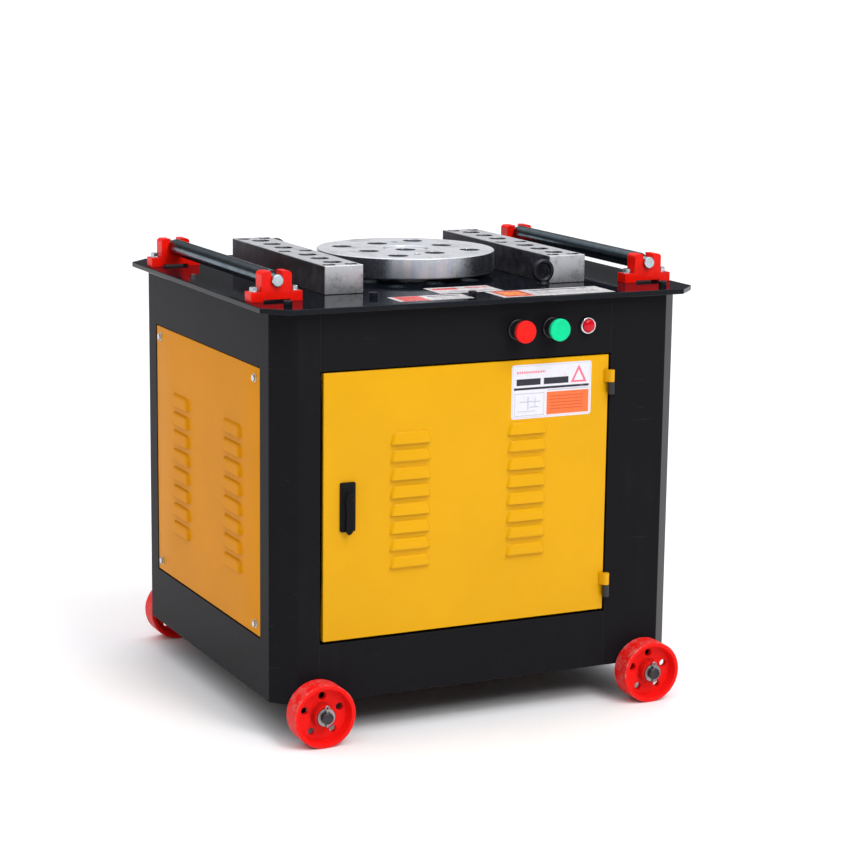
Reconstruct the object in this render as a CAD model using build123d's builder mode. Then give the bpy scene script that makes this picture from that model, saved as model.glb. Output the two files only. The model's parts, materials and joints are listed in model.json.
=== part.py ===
"""Rebar bending machine: a turntable bender on a wheeled steel cabinet.

Millimetres.  X is the width, +Y points to the rear, +Z is up.  The origin is on the floor under the
middle of the table, which is also the middle of the cabinet and the axis of the bending disc.
"""
from build123d import *
import os
from math import atan2, cos, degrees, hypot, pi, radians, sin, sqrt, tan

os.makedirs("parts", exist_ok=True)

# ---------------------------------------------------------------- driving dimensions
# wheels and axles
wheel_radius = 60
wheel_width = 44
wheel_gap = 5              # wheel to cabinet face
wheel_hub_radius = 21
wheel_web = 10
wheel_rim = 8
wheel_hole_radius = 7.2
wheel_hole_count = 5
wheel_edge = 1.5
wheel_hole_circle = 36
axle_radius = 11
axle_inset = 75            # axles stand this far inside the cabinet's left and right sides
axle_tail = 12             # axle beyond the wheel
axle_block = 34
running_gap = 0.05         # radial clearance of every running fit
split_pin_radius = 2
pin_place = 7              # split pin beyond the wheel
pin_tail = 6               # split pin beyond the axle, each way
washer_radius = 17
washer_height = 3
washer_gap = 0.4           # wheel to washer
pin_eye_radius = 3.6

# cabinet
cabinet_width = 840
cabinet_depth = 732
cabinet_height = 725
corner_bevel = 40          # leg of the 45 degree corner fold
bend_radius = 6
sheet = 3                  # posts and rails
skin = 2                   # door and covers
side_flange = 44           # post flange beside the side cover
front_flange = 43          # post flange left of the door
hinge_flange = 119         # wide flange right of the door
top_rail = 108
bottom_rail = 109
lip = 14                   # stop lip behind the door's edge
rebate = 16                # depth of the door rebate
cover_lip = 46             # strip behind the cover that takes the screws
cover_gap = 2.5
cover_screw_radius = 4
cover_screw_gap = 0.3
cover_washer_radius = 8
cover_washer_height = 1.2
cover_head_radius = 6.5
cover_head_height = 4
axle_clearance = 1         # axle to the cabinet's lower edge

# table
table_thickness = 10
table_overhang_x = 26
table_overhang_y = 24
table_chamfer = 42

gusset_reach = 40          # plates in the cabinet's corners that the table is screwed to
gusset_height = 8
table_screw_inset_x = 32    # corner screws of the table, inside the cabinet's faces
table_screw_inset_y = 28
middle_screw = (-22, 340)
bar_side_screw = (-200, 290)
screw_radius = 5
screw_gap = 0.5
screw_head_radius = 8
screw_head_height = 10

screw_thread_tail = 9      # below the plate or gusset, where the nut sits
hexagon_key = 4.6          # corner radius of a screw's socket
nut_radius = 9
nut_height = 8
table_label_places = [((-104, -333), (150, 58)), ((2, -254), (132, 76)), ((142, -338), (236, 80))]

# bending disc
disc_radius = 175
disc_thickness = 40
disc_gap = 10              # disc to table
disc_rest_angle = 13.5     # inner sockets at rest
socket_radius = 20
inner_circle = 91
outer_circle = 127
jack_circle = 103          # tapped holes for lifting the disc off
jack_radius = 7
jack_angle = 64.5
spindle_boss = 43
boss_recess = 3
centre_socket_depth = 50

# hole bars
bar_x = 234.5
bar_width = 78
bar_length = 470
bar_height = 53.5
bar_socket_radius = 18
bar_pitch = 60
bar_screw_x = 22
bar_screw_y = 216
bar_bolt_radius = 8
bar_head_radius = 12
bar_head_depth = 18
bar_key = 7                # corner radius of the bolt's socket
bar_key_depth = 8

# feed rollers
roller_x = 387
roller_radius = 16
roller_wall = 4
roller_shaft_radius = 11
roller_height = 38.5       # axis above the table
bracket_y = 268
bracket_depth = 30
bracket_base_width = 100
bracket_base_height = 14
bracket_foot = 4
bracket_foot_width = 24
bracket_block_width = 58
bracket_top = 55
bracket_screw_x = 39
bracket_rounding = 7
bracket_washer_height = 1.5
bracket_nut_height = 7
journal = 30               # length of the roller shaft's end inside the tube
roller_end_gap = 2
shaft_tail = 6

# lifting eyes
eye_x = 176
eye_y = 246
eye_radius = 23
eye_rod = 4.5
eye_collar_radius = 11
eye_collar_height = 6
eye_thread_radius = 6
eye_thread_tail = 6

# door, hinges and latch
door_gap_left = 7
door_gap_right = 3.5
door_gap_top = 3.5
door_gap_bottom = 5
door_return = 16
door_setback = 1
hinge_radius = 6.5
hinge_pin_radius = 3
hinge_length = 23
hinge_from_top = 63
hinge_from_bottom = 50
hinge_split = 0.6          # between the two knuckles of a hinge
hinge_offset = 0.6         # knuckles stand off the cabinet's face
hinge_pin_length = 25
label_thickness = 0.3
label_left = 50
label_width = 170
label_height = 103
label_top_drop = 9
latch_width = 30
latch_height = 92
latch_depth = 7
latch_from_left = 32
latch_top_drop = 203       # latch top below the door's top edge
latch_pivot_drop = 26
latch_rod = 5
latch_tail = 12            # latch rod behind the door's skin
latch_gap = 0.4            # handle to the latch's base
cam_width = 20
cam_tail = 12
cam_behind = 5             # cam behind the door's skin
cam_gap = 1.5              # cam to the stop lip
handle_depth = 10
handle_width = 17
handle_length = 62

# louvres
louvre_width = 80
cover_louvre_width = 92
louvre_height = 23
louvre_rise = 6
louvre_count = 8
louvre_wall = 1.2
louvre_columns = 120.5     # door louvre columns, left and right of its middle
louvre_drop = 367          # middle of the door's louvres below the table top
cover_louvre_columns = 140
cover_louvre_drop = 11     # cover louvres below the cover's middle
slot_inset = 4             # the slot behind a louvre ends this far inside it
slot_height = 11.5
slot_drop = 3.5            # middle of the slot below the louvre's middle
door_louvre_pitch = 33.4
cover_louvre_pitch = 37

# controls
stop_x = 58
start_x = 130
lamp_x = 207
control_drop = 62.5        # controls below the table top
collar_radius = 20
collar_length = 25
cap_radius = 21
cap_length = 8
cap_rounding = 3
stem_radius = 9
barrel_radius = 15          # threaded barrel through the panel
button_travel = 5
panel_hole_gap = 0.4
contact_front = 24         # contact blocks start this far behind the panel's face
contact_half_width = 18
contact_half_height = 22
contact_depth = 42
stem_tail = 6              # button stem inside its contact block
stem_stop = 1.5            # cap to collar at full travel
lamp_radius = 17
lens_radius = 12.5
lens_crown = 14
lens_rim = 8.5
bezel_rim = 8
knurl_count = 24
knurl_radius = 1.1

# cable gland, motor, control box
gland_inset = 60           # from the rear opening's right edge and from the cabinet's lower edge
gland_radius = 12
gland_gap = 0.3
gland_bore = 7
gland_nut = 15
gland_thread = 14
gland_length = 22
box_from_side = 110        # middle of the control box inside the right face
box_y = -30
box_width = 120
box_depth = 220
box_height = 280
box_lid_inset = 12
box_lid_height = 1

# drive
gear_angle = 20
final_module = 4
first_module = 3
pinion_teeth = 18
wheel_teeth = 72
final_face = 44
first_face = 28
backlash = 0.5             # taken off each tooth's thickness
input_turn = 110           # direction from the idler to the input shaft
spindle_radius = 35
idler_radius = 20
input_radius = 16
bearing_wall = 16
bearing_width = 16
housing_height = 140
housing_lid = 26           # top wall and bottom cover, with the bearing seats
housing_wall = 10
housing_room = 14          # gears to housing wall
housing_corner = 30
lid_gap = 6                # top wall to the final gear
gear_gap = 12              # final gear to the first gear
shaft_end_gap = 2
main_hub = 18              # wall of the hub round a shaft
main_hub_face = 54
window_circle = 96         # lightening holes of the main gear
window_radius = 24
window_count = 6
idler_hub = 14
idler_hub_face = 38
spindle_flange = 22        # flange beyond the boss
spindle_flange_gap = 1.5   # flange to table
spindle_hole_gap = 5
pulley_gap = 5             # gearbox cover to the pulley
pulley_window_circle = 70
pulley_window_radius = 26
pulley_window_count = 5
pulley_radius = 125        # belt line on the input pulley
motor_pulley_radius = 50
belt_width = 13
belt_height = 9
belt_pitch = 20
belt_count = 2
groove_gap = 0.4
belt_centres = 330
motor_pulley_gap = 14
motor_radius = 95
motor_length = 250
motor_fin = 7
motor_fin_count = 24
motor_fin_thickness = 3
motor_fin_end = 25         # the fins end this far from each end of the body
motor_wall = 20
motor_foot = 112           # motor axis to its mounting plate
motor_foot_half = 70
motor_foot_height = 36
motor_foot_inset = 50
motor_shaft_radius = 14
terminal_half = 38         # terminal box on the motor's front side
terminal_reach = 46
terminal_top = 30
terminal_bottom = 110
fan_room = 46              # fan cover below the motor
fan_cover_wall = 2
fan_blade_count = 8
fan_hub = 24
fan_blade = 48
vent_count = 12
vent_length = 42
vent_width = 6
vent_circle = 50
rotor_gap = 22
beam = 50
beam_wall = 4
beam_clearance = 4         # base beams above the cabinet's lower edge
cross_beam_y = 250
axle_block_y = 320
axle_block_foot = 5        # axle block below the axle
column = 40
column_y = 95              # motor columns each side of the motor's axis
stand_half = 120
stand_plate = 12

# ---------------------------------------------------------------- derived places
cabinet_bottom = wheel_radius + axle_radius + axle_clearance
table_bottom = cabinet_bottom + cabinet_height
table_top = table_bottom + table_thickness
half_width = cabinet_width / 2
half_depth = cabinet_depth / 2
axle_x = half_width - axle_inset
table_screw_x = half_width - table_screw_inset_x
table_screw_y = half_depth - table_screw_inset_y
opening_bottom = cabinet_bottom + bottom_rail
opening_top = table_bottom - top_rail
opening_height = opening_top - opening_bottom
opening_left = -half_width + corner_bevel + front_flange
opening_right = half_width - corner_bevel - hinge_flange
side_opening = cabinet_depth - 2 * (corner_bevel + side_flange)
rear_opening = cabinet_width - 2 * (corner_bevel + front_flange)
control_z = table_top - control_drop


def save(piece, name):
    """Label a finished piece and write its STEP file."""
    piece.part.label = name
    export_step(piece.part, f"parts/{name}.step")


def block(low, high):
    """A plain box between two corners, added to the part that is being built."""
    size = [b - a for a, b in zip(low, high)]
    with Locations(tuple((a + b) / 2 for a, b in zip(low, high))):
        Box(*size)


def rod(place, radius, length, axis="Z", mode=Mode.ADD):
    """A cylinder that starts at a place and runs along +X, +Y or +Z."""
    turn = {"X": (0, 90, 0), "Y": (-90, 0, 0), "Z": (0, 0, 0)}[axis]
    with Locations(Location(place, turn)):
        Cylinder(radius, length, align=(Align.CENTER, Align.CENTER, Align.MIN), mode=mode)


def turned(profile, place, direction=(0, 0, 1)):
    """A turned piece: (radius, height) points about an axis through a place, heights along it."""
    up = Vector(*direction)
    across = Vector(1, 0, 0)
    with BuildSketch(Plane(origin=place, x_dir=across, z_dir=across.cross(up))) as section:
        with BuildLine():
            Polyline(*profile, close=True)
        make_face()
    revolve(section.sketch, axis=Axis(place, direction))


# ---------------------------------------------------------------- cabinet posts
def post(name_parts, rebated):
    """Folded corner posts: side flange, 45 degree bevel, front flange, and a rebate at the door."""
    with BuildPart() as posts:
        for flip_x, flip_y, flange in name_parts:
            inner_shift = sheet * tan(radians(22.5))
            bend = corner_bevel + inner_shift
            outer = [(0, corner_bevel + side_flange), (0, corner_bevel), (corner_bevel, 0),
                     (corner_bevel + flange, 0)]
            inner = [(sheet, corner_bevel + side_flange), (sheet, bend), (bend, sheet),
                     (corner_bevel + flange, sheet)]
            end = corner_bevel + flange
            place = [(flip_x * (half_width - x), flip_y * (half_depth - y)) for x, y in outer + inner[::-1]]
            with BuildSketch(Plane.XY.offset(cabinet_bottom)) as section:
                with BuildLine():
                    Polyline(*place, close=True)
                make_face()
                bends = [v for v in section.vertices()
                         if hypot(abs(v.X) - half_width, abs(v.Y) - half_depth + corner_bevel) < 0.1
                         or hypot(abs(v.X) - half_width + corner_bevel, abs(v.Y) - half_depth) < 0.1]
                fillet(bends, radius=bend_radius)
            extrude(amount=cabinet_height)
            gusset = [(sheet, bend), (bend, sheet), (bend + gusset_reach, sheet),
                      (sheet, bend + gusset_reach)]
            with BuildSketch(Plane.XY.offset(table_bottom - gusset_height)):
                with BuildLine():
                    Polyline(*[(flip_x * (half_width - x), flip_y * (half_depth - y)) for x, y in gusset],
                             close=True)
                make_face()
            extrude(amount=gusset_height)
            screw_place = (flip_x * table_screw_x, flip_y * table_screw_y, table_bottom - gusset_height)
            rod(screw_place, screw_radius + screw_gap, gusset_height, mode=Mode.SUBTRACT)
            if rebated:
                edge = flip_x * (half_width - end)
                back = flip_y * (half_depth - rebate - sheet)
                low, high = opening_bottom - sheet, opening_top + sheet
                corners_x = sorted((edge, edge + flip_x * sheet))
                corners_y = sorted((flip_y * half_depth, back - flip_y * sheet))
                block((corners_x[0], corners_y[0], low), (corners_x[1], corners_y[1], high))
                corners_x = sorted((edge + flip_x * sheet, edge - flip_x * lip))
                corners_y = sorted((back, back - flip_y * sheet))
                block((corners_x[0], corners_y[0], low), (corners_x[1], corners_y[1], high))
    return posts


front_left_post = post([(-1, -1, front_flange)], rebated=True)
save(front_left_post, "front_left_post")
front_right_post = post([(1, -1, hinge_flange)], rebated=True)
save(front_right_post, "front_right_post")
rear_posts = post([(-1, 1, front_flange), (1, 1, front_flange)], rebated=False)
save(rear_posts, "rear_posts")

# ---------------------------------------------------------------- front panels
front_y = -half_depth
control_places = [stop_x, start_x, lamp_x]
control_hole_radius = barrel_radius + panel_hole_gap

with BuildPart() as front_top_panel:
    block((opening_left, front_y, opening_top), (opening_right, front_y + sheet, table_bottom))
    block((opening_left, front_y + sheet, opening_top),
          (opening_right, front_y + rebate + sheet, opening_top + sheet))
    block((opening_left + lip, front_y + rebate + sheet, opening_top - lip),
          (opening_right - lip, front_y + rebate + 2 * sheet, opening_top + sheet))
    with Locations([Location((x, front_y, control_z), (-90, 0, 0)) for x in control_places]):
        Cylinder(control_hole_radius, 4 * sheet, mode=Mode.SUBTRACT)
save(front_top_panel, "front_top_panel")

with BuildPart() as front_bottom_panel:
    block((opening_left, front_y, cabinet_bottom), (opening_right, front_y + sheet, opening_bottom))
    block((opening_left, front_y + sheet, opening_bottom - sheet),
          (opening_right, front_y + rebate + sheet, opening_bottom))
    block((opening_left + lip, front_y + rebate + sheet, opening_bottom - sheet),
          (opening_right - lip, front_y + rebate + 2 * sheet, opening_bottom + lip))
save(front_bottom_panel, "front_bottom_panel")


# ---------------------------------------------------------------- side and rear rails
def rails(width, face, turn):
    """Add the top and bottom rail of one face, each with a strip behind the cover for its screws.

    The rails are drawn on the front face, `face` from the middle, and turned about Z into place.
    """
    with Locations(Location((0, 0, 0), (0, 0, turn))):
        for low, high in ((cabinet_bottom, opening_bottom), (opening_top, table_bottom)):
            inner = high if low == cabinet_bottom else low
            with Locations((0, -face + sheet / 2, (low + high) / 2)):
                Box(width, sheet, high - low)
            with Locations((0, -face + sheet * 1.5, inner)):
                Box(width, sheet, 2 * cover_lip)
            hole_z = inner + (cover_lip / 2 if low == cabinet_bottom else -cover_lip / 2)
            hole_x = width / 2 - cover_gap - cover_lip / 2
            with Locations(*[Location((side * hole_x, -face + sheet * 1.5, hole_z), (-90, 0, 0))
                             for side in (-1, 1)]):
                Cylinder(cover_screw_hole, 4 * sheet, mode=Mode.SUBTRACT)


cover_screw_hole = cover_screw_radius + cover_screw_gap
with BuildPart() as side_rails:
    rails(side_opening, half_width, -90)
    rails(side_opening, half_width, 90)
save(side_rails, "side_rails")

gland_place = (half_width - corner_bevel - front_flange - gland_inset, half_depth,
               cabinet_bottom + gland_inset)
with BuildPart() as rear_rails:
    rails(rear_opening, half_depth, 180)
    rod((gland_place[0], half_depth - 2 * sheet, gland_place[2]), gland_radius + gland_gap, 3 * sheet,
        "Y", Mode.SUBTRACT)
save(rear_rails, "rear_rails")


# ---------------------------------------------------------------- louvred covers and door
def louvre(width, inset):
    """One pressed louvre on the plane y = 0: a sloped hood that is open at its lower side."""
    rise = louvre_rise - inset
    mouth = -louvre_height / 2 - (inset > 0)        # the room inside runs out of the hood's mouth
    with BuildPart() as hood:
        with BuildSketch(Plane.YZ):
            with BuildLine():
                Polyline((0, louvre_height / 2 - inset * 2), (-rise, -louvre_height / 2 + louvre_rise),
                         (-rise, mouth), (0, mouth), close=True)
            make_face()
        extrude(amount=width / 2 - inset, both=True)
        ends = hood.edges().filter_by(Axis.Z, tolerance=40).sort_by(Axis.Y)[:2]
        chamfer(ends, length=rise * 0.8)
    return hood.part


def louvre_places(columns, middle_z, pitch):
    """Centres of the louvres: columns of equal louvres about a middle height."""
    rows = [middle_z + (i - (louvre_count - 1) / 2) * pitch for i in range(louvre_count)]
    return [(x, 0, z) for x in columns for z in rows]


cover_hood = louvre(cover_louvre_width, 0)
cover_hood_room = louvre(cover_louvre_width, louvre_wall)
cover_height = opening_height - 2 * cover_gap
cover_middle = (opening_bottom + opening_top) / 2


def press_louvres(places, hood, room, width, face):
    """Add the hoods on a sheet whose outer side is at y = face, and open the sheet behind them."""
    with Locations(*[Location((x, face, z)) for x, y, z in places]):
        add(hood)
    with Locations(*[Location((x, face, z)) for x, y, z in places]):
        add(room, mode=Mode.SUBTRACT)
    with Locations(*[Location((x, face + skin / 2, z - slot_drop)) for x, y, z in places]):
        Box(width - 2 * slot_inset, skin * 1.5, slot_height, mode=Mode.SUBTRACT)


def cover(width, face, turn):
    """A flat cover with two columns of louvres and four screw holes, turned about Z into place."""
    with BuildPart() as plate:
        back = -face + sheet
        with Locations(Location((0, 0, 0), (0, 0, turn))):
            with Locations((0, back - skin / 2, cover_middle)):
                Box(width, skin, cover_height)
            places = louvre_places([-cover_louvre_columns, cover_louvre_columns],
                                   cover_middle - cover_louvre_drop, cover_louvre_pitch)
            press_louvres(places, cover_hood, cover_hood_room, cover_louvre_width, back - skin)
            screws = [Location((sx * (width / 2 - cover_lip / 2), back - skin / 2,
                                cover_middle + sz * (cover_height / 2 + cover_gap - cover_lip / 2)),
                               (-90, 0, 0)) for sx in (-1, 1) for sz in (-1, 1)]
            with Locations(*screws):
                Cylinder(cover_screw_hole, 4 * skin, mode=Mode.SUBTRACT)
    return plate


side_cover_width = side_opening - 2 * cover_gap
rear_cover_width = rear_opening - 2 * cover_gap
left_cover = cover(side_cover_width, half_width, -90)
save(left_cover, "left_cover")
right_cover = cover(side_cover_width, half_width, 90)
save(right_cover, "right_cover")
rear_cover = cover(rear_cover_width, half_depth, 180)
save(rear_cover, "rear_cover")

with BuildPart() as cover_screws:
    for width, face, turn in ((side_cover_width, half_width, -90), (side_cover_width, half_width, 90),
                              (rear_cover_width, half_depth, 180)):
        with Locations(Location((0, 0, 0), (0, 0, turn))):
            heads = [Location((sx * (width / 2 - cover_lip / 2), -face + sheet - skin,
                               cover_middle + sz * (cover_height / 2 + cover_gap - cover_lip / 2)),
                              (-90, 0, 0)) for sx in (-1, 1) for sz in (-1, 1)]
            with Locations(*heads):
                Cylinder(cover_screw_radius, skin + 4 * sheet,
                         align=(Align.CENTER, Align.CENTER, Align.MIN))
                Cylinder(cover_washer_radius, cover_washer_height,
                         align=(Align.CENTER, Align.CENTER, Align.MAX))
            with Locations(*heads):
                with BuildPart(mode=Mode.PRIVATE) as head:
                    with BuildSketch(Plane.XY.offset(-cover_washer_height)):
                        RegularPolygon(cover_head_radius, 6)
                    extrude(amount=-cover_head_height)
                add(head.part)
save(cover_screws, "cover_screws")


# ---------------------------------------------------------------- door
door_left = opening_left + door_gap_left
door_right = opening_right - door_gap_right
door_bottom = opening_bottom + door_gap_bottom
door_top = opening_top - door_gap_top
door_face = front_y + door_setback
door_middle_x = (door_left + door_right) / 2
door_louvre_middle = table_top - louvre_drop
hinge_x = opening_right - door_gap_right / 2
hinge_y = front_y - hinge_radius - hinge_offset
hinge_joints = [door_top - hinge_from_top + hinge_length / 2, door_bottom + hinge_from_bottom]
latch_x = door_left + latch_from_left + latch_width / 2
latch_top = door_top - latch_top_drop
pivot_z = latch_top - latch_pivot_drop

door_hood = louvre(louvre_width, 0)
door_hood_room = louvre(louvre_width, louvre_wall)
with BuildPart() as door:
    block((door_left, door_face, door_bottom), (door_right, door_face + skin, door_top))
    back = door_face + door_return
    block((door_left, door_face, door_bottom), (door_left + skin, back, door_top))
    block((door_right - skin, door_face, door_bottom), (door_right, back, door_top))
    block((door_left, door_face, door_bottom), (door_right, back, door_bottom + skin))
    block((door_left, door_face, door_top - skin), (door_right, back, door_top))
    columns = [door_middle_x - louvre_columns, door_middle_x + louvre_columns]
    press_louvres(louvre_places(columns, door_louvre_middle, door_louvre_pitch),
                  door_hood, door_hood_room, louvre_width, door_face)
    rod((latch_x, door_face - 1, pivot_z), latch_rod + running_gap, skin + 2, "Y", Mode.SUBTRACT)
    for joint in hinge_joints:
        rod((hinge_x, hinge_y, joint), hinge_radius, hinge_length)
        block((door_right - hinge_radius, hinge_y, joint), (hinge_x, door_face, joint + hinge_length))
        rod((hinge_x, hinge_y, joint - 1), hinge_pin_radius + running_gap, hinge_pin_length - 6,
            mode=Mode.SUBTRACT)
save(door, "door")

with BuildPart() as frame_hinges:
    for joint in hinge_joints:
        low = joint - hinge_length - hinge_split
        rod((hinge_x, hinge_y, low), hinge_radius, hinge_length)
        block((opening_right, hinge_y, low), (opening_right + hinge_radius, front_y, low + hinge_length))
        rod((hinge_x, hinge_y, low + hinge_length / 2), hinge_pin_radius, hinge_pin_length)
save(frame_hinges, "frame_hinges")

# ---------------------------------------------------------------- latch
with BuildPart() as latch_base:
    block((latch_x - latch_width / 2, door_face - latch_depth, latch_top - latch_height),
          (latch_x + latch_width / 2, door_face, latch_top))
    fillet(latch_base.edges().filter_by(Axis.Y), radius=2)
    chamfer(latch_base.faces().sort_by(Axis.Y)[0].edges(), length=1.5)
    rod((latch_x, door_face - latch_depth - 1, pivot_z), latch_rod + running_gap, latch_depth + 2, "Y",
        Mode.SUBTRACT)
save(latch_base, "latch_base")

handle_back = door_face - latch_depth - latch_gap
with BuildPart() as latch_handle:
    with BuildSketch(Plane.XZ.offset(-handle_back)):
        with Locations((latch_x, pivot_z - handle_length / 2)):
            SlotOverall(handle_length + handle_width, handle_width, rotation=90)
    extrude(amount=handle_depth)
    chamfer(latch_handle.faces().sort_by(Axis.Y)[0].edges(), length=2)
    rod((latch_x, handle_back, pivot_z), latch_rod, door_face + skin + latch_tail - handle_back, "Y")
save(latch_handle, "latch_handle")

cam_reach = latch_x - (opening_left + lip) - cam_gap
cam_back = door_face + skin + cam_behind
with BuildPart() as latch_cam:
    with BuildSketch(Plane.XZ.offset(-cam_back - sheet)):
        with Locations((latch_x - cam_reach / 2 + cam_tail / 2, pivot_z)):
            SlotOverall(cam_reach + cam_tail, cam_width)
        with Locations((latch_x, pivot_z)):
            Circle(latch_rod, mode=Mode.SUBTRACT)
    extrude(amount=sheet)
save(latch_cam, "latch_cam")

with BuildPart() as safety_label:
    block((label_left, door_face - label_thickness, door_top - label_top_drop - label_height),
          (label_left + label_width, door_face, door_top - label_top_drop))
    fillet(safety_label.edges().filter_by(Axis.Y), radius=5)
save(safety_label, "safety_label")

# ---------------------------------------------------------------- push buttons and lamp
cap_gap = button_travel + stem_stop
with BuildPart() as button_collars:
    for x in (stop_x, start_x):
        bore = stem_radius + running_gap
        turned([(bore, contact_front), (barrel_radius, contact_front), (barrel_radius, 0),
                (collar_radius, 0), (collar_radius, -collar_length + 2), (collar_radius - 2, -collar_length),
                (bore, -collar_length)], (x, front_y, control_z), (0, 1, 0))
save(button_collars, "button_collars")

stem_back = contact_front + stem_tail
for x, name in ((stop_x, "stop_button"), (start_x, "start_button")):
    with BuildPart() as button:
        face = -collar_length - cap_gap
        turned([(0, stem_back), (stem_radius, stem_back), (stem_radius, face), (cap_radius, face),
                (cap_radius, face - cap_length + cap_rounding),
                (cap_radius - cap_rounding, face - cap_length + 0.8),
                (0, face - cap_length)], (x, front_y, control_z), (0, 1, 0))
    save(button, name)

with BuildPart() as contact_blocks:
    for x in (stop_x, start_x):
        block((x - contact_half_width, front_y + contact_front, control_z - contact_half_height),
              (x + contact_half_width, front_y + contact_front + contact_depth,
               control_z + contact_half_height))
        rod((x, front_y + contact_front, control_z), stem_radius + 1,
            stem_tail + button_travel + stem_stop, "Y", Mode.SUBTRACT)
save(contact_blocks, "contact_blocks")

with BuildPart() as indicator_bezel:
    turned([(lens_radius - 1, contact_front), (barrel_radius, contact_front), (barrel_radius, 0),
            (lamp_radius, 0), (lamp_radius, -bezel_rim + 3), (lamp_radius - 2, -bezel_rim),
            (lens_radius, -bezel_rim), (lens_radius, -2), (lens_radius - 1, -2)],
           (lamp_x, front_y, control_z), (0, 1, 0))
    knurls = [2 * pi * i / knurl_count for i in range(knurl_count)]
    with Locations(*[Location((lamp_x + lamp_radius * cos(a), front_y, control_z + lamp_radius * sin(a)),
                              (-90, 0, 0)) for a in knurls]):
        Cylinder(knurl_radius, 2 * (bezel_rim - 2), mode=Mode.SUBTRACT)
save(indicator_bezel, "indicator_bezel")

dome_rise = lens_crown - lens_rim
dome_radius = (lens_radius ** 2 + dome_rise ** 2) / (2 * dome_rise)
half_sweep = degrees(atan2(lens_radius, dome_radius - dome_rise)) / 2
middle = (dome_radius * sin(radians(half_sweep)), -lens_crown + dome_radius * (1 - cos(radians(half_sweep))))
with BuildPart() as indicator_lens:
    with BuildSketch(Plane((lamp_x, front_y, control_z), x_dir=(1, 0, 0), z_dir=(0, 0, 1))):
        with BuildLine():
            Polyline((0, -lens_crown), (0, -2), (lens_radius, -2), (lens_radius, -lens_rim))
            ThreePointArc((lens_radius, -lens_rim), middle, (0, -lens_crown))
        make_face()
    revolve(axis=Axis((lamp_x, front_y, control_z), (0, 1, 0)))
save(indicator_lens, "indicator_lens")

# ---------------------------------------------------------------- wheels and axles
wheel_centres = {"front_left": (-1, -1), "front_right": (1, -1), "rear_left": (-1, 1), "rear_right": (1, 1)}
wheel_inner = half_depth + wheel_gap
with BuildPart() as axles:
    for side in (-1, 1):
        end = wheel_inner + wheel_width + axle_tail
        rod((side * axle_x, -end, wheel_radius), axle_radius, 2 * end, "Y")
    chamfer(axles.edges().filter_by(GeomType.CIRCLE), length=1.5)
    for side in (-1, 1):
        for way in (-1, 1):
            rod((side * axle_x, way * (wheel_inner + wheel_width + pin_place), 0),
                split_pin_radius + running_gap, 2 * wheel_radius, mode=Mode.SUBTRACT)
save(axles, "axles")

with BuildPart() as axle_retainers:
    for side, way in wheel_centres.values():
        turned([(axle_radius + running_gap, 0), (washer_radius, 0), (washer_radius, washer_height),
                (axle_radius + running_gap, washer_height)],
               (side * axle_x, way * (wheel_inner + wheel_width + washer_gap), wheel_radius), (0, way, 0))
        y = way * (wheel_inner + wheel_width + pin_place)
        eye_z = wheel_radius + axle_radius + pin_tail
        rod((side * axle_x, y, wheel_radius - axle_radius - pin_tail), split_pin_radius,
            2 * (axle_radius + pin_tail))
        with Locations((side * axle_x, y, eye_z + 2)):
            Torus(pin_eye_radius, split_pin_radius * 0.8, rotation=(90, 0, 0))
save(axle_retainers, "axle_retainers")

for name, (side, way) in wheel_centres.items():
    with BuildPart() as wheel:
        half = wheel_width / 2
        rim = wheel_radius - wheel_rim
        bore = axle_radius + running_gap
        turned([(bore, -half), (wheel_hub_radius, -half), (wheel_hub_radius, -wheel_web / 2),
                (rim - 4, -wheel_web / 2), (rim, -half),
                (wheel_radius - wheel_edge, -half), (wheel_radius, -half + wheel_edge),
                (wheel_radius, half - wheel_edge), (wheel_radius - wheel_edge, half),
                (rim, half), (rim - 4, wheel_web / 2), (wheel_hub_radius, wheel_web / 2),
                (wheel_hub_radius, half), (bore, half)],
               (side * axle_x, way * (wheel_inner + half), wheel_radius), (0, 1, 0))
        turns = [2 * pi * i / wheel_hole_count for i in range(wheel_hole_count)]
        holes = [Location((side * axle_x + wheel_hole_circle * sin(a), way * (wheel_inner + half),
                           wheel_radius + wheel_hole_circle * cos(a)), (-90, 0, 0)) for a in turns]
        with Locations(*holes):
            Cylinder(wheel_hole_radius, wheel_width, mode=Mode.SUBTRACT)
    save(wheel, f"{name}_wheel")

# ---------------------------------------------------------------- base frame and motor columns
beam_bottom = cabinet_bottom + beam_clearance
beam_top = beam_bottom + beam
beam_reach = half_depth - sheet


def tube(low, high, wall, along):
    """A square tube between two corners, hollow along one axis."""
    block(low, high)
    inner_low = [a if i == along else a + wall for i, a in enumerate(low)]
    inner_high = [b if i == along else b - wall for i, b in enumerate(high)]
    size = [b - a for a, b in zip(inner_low, inner_high)]
    with Locations(tuple((a + b) / 2 for a, b in zip(inner_low, inner_high))):
        Box(*size, mode=Mode.SUBTRACT)


with BuildPart() as base_beams:
    for side in (-1, 1):
        x = side * axle_x
        tube((x - beam / 2, -beam_reach, beam_bottom), (x + beam / 2, beam_reach, beam_top), beam_wall, 1)
    for side, way in wheel_centres.values():
        x, y = side * axle_x, way * axle_block_y
        block((x - axle_block / 2, y - axle_block / 2, wheel_radius - axle_radius - axle_block_foot),
              (x + axle_block / 2, y + axle_block / 2, beam_bottom + beam_wall))
        rod((x, y - axle_block, wheel_radius), axle_radius, 2 * axle_block, "Y", Mode.SUBTRACT)
save(base_beams, "base_beams")

with BuildPart() as cross_beams:
    for y in (-cross_beam_y, cross_beam_y):
        tube((-axle_x + beam / 2, y - beam / 2, beam_bottom), (axle_x - beam / 2, y + beam / 2, beam_top),
             beam_wall, 0)
save(cross_beams, "cross_beams")

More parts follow.
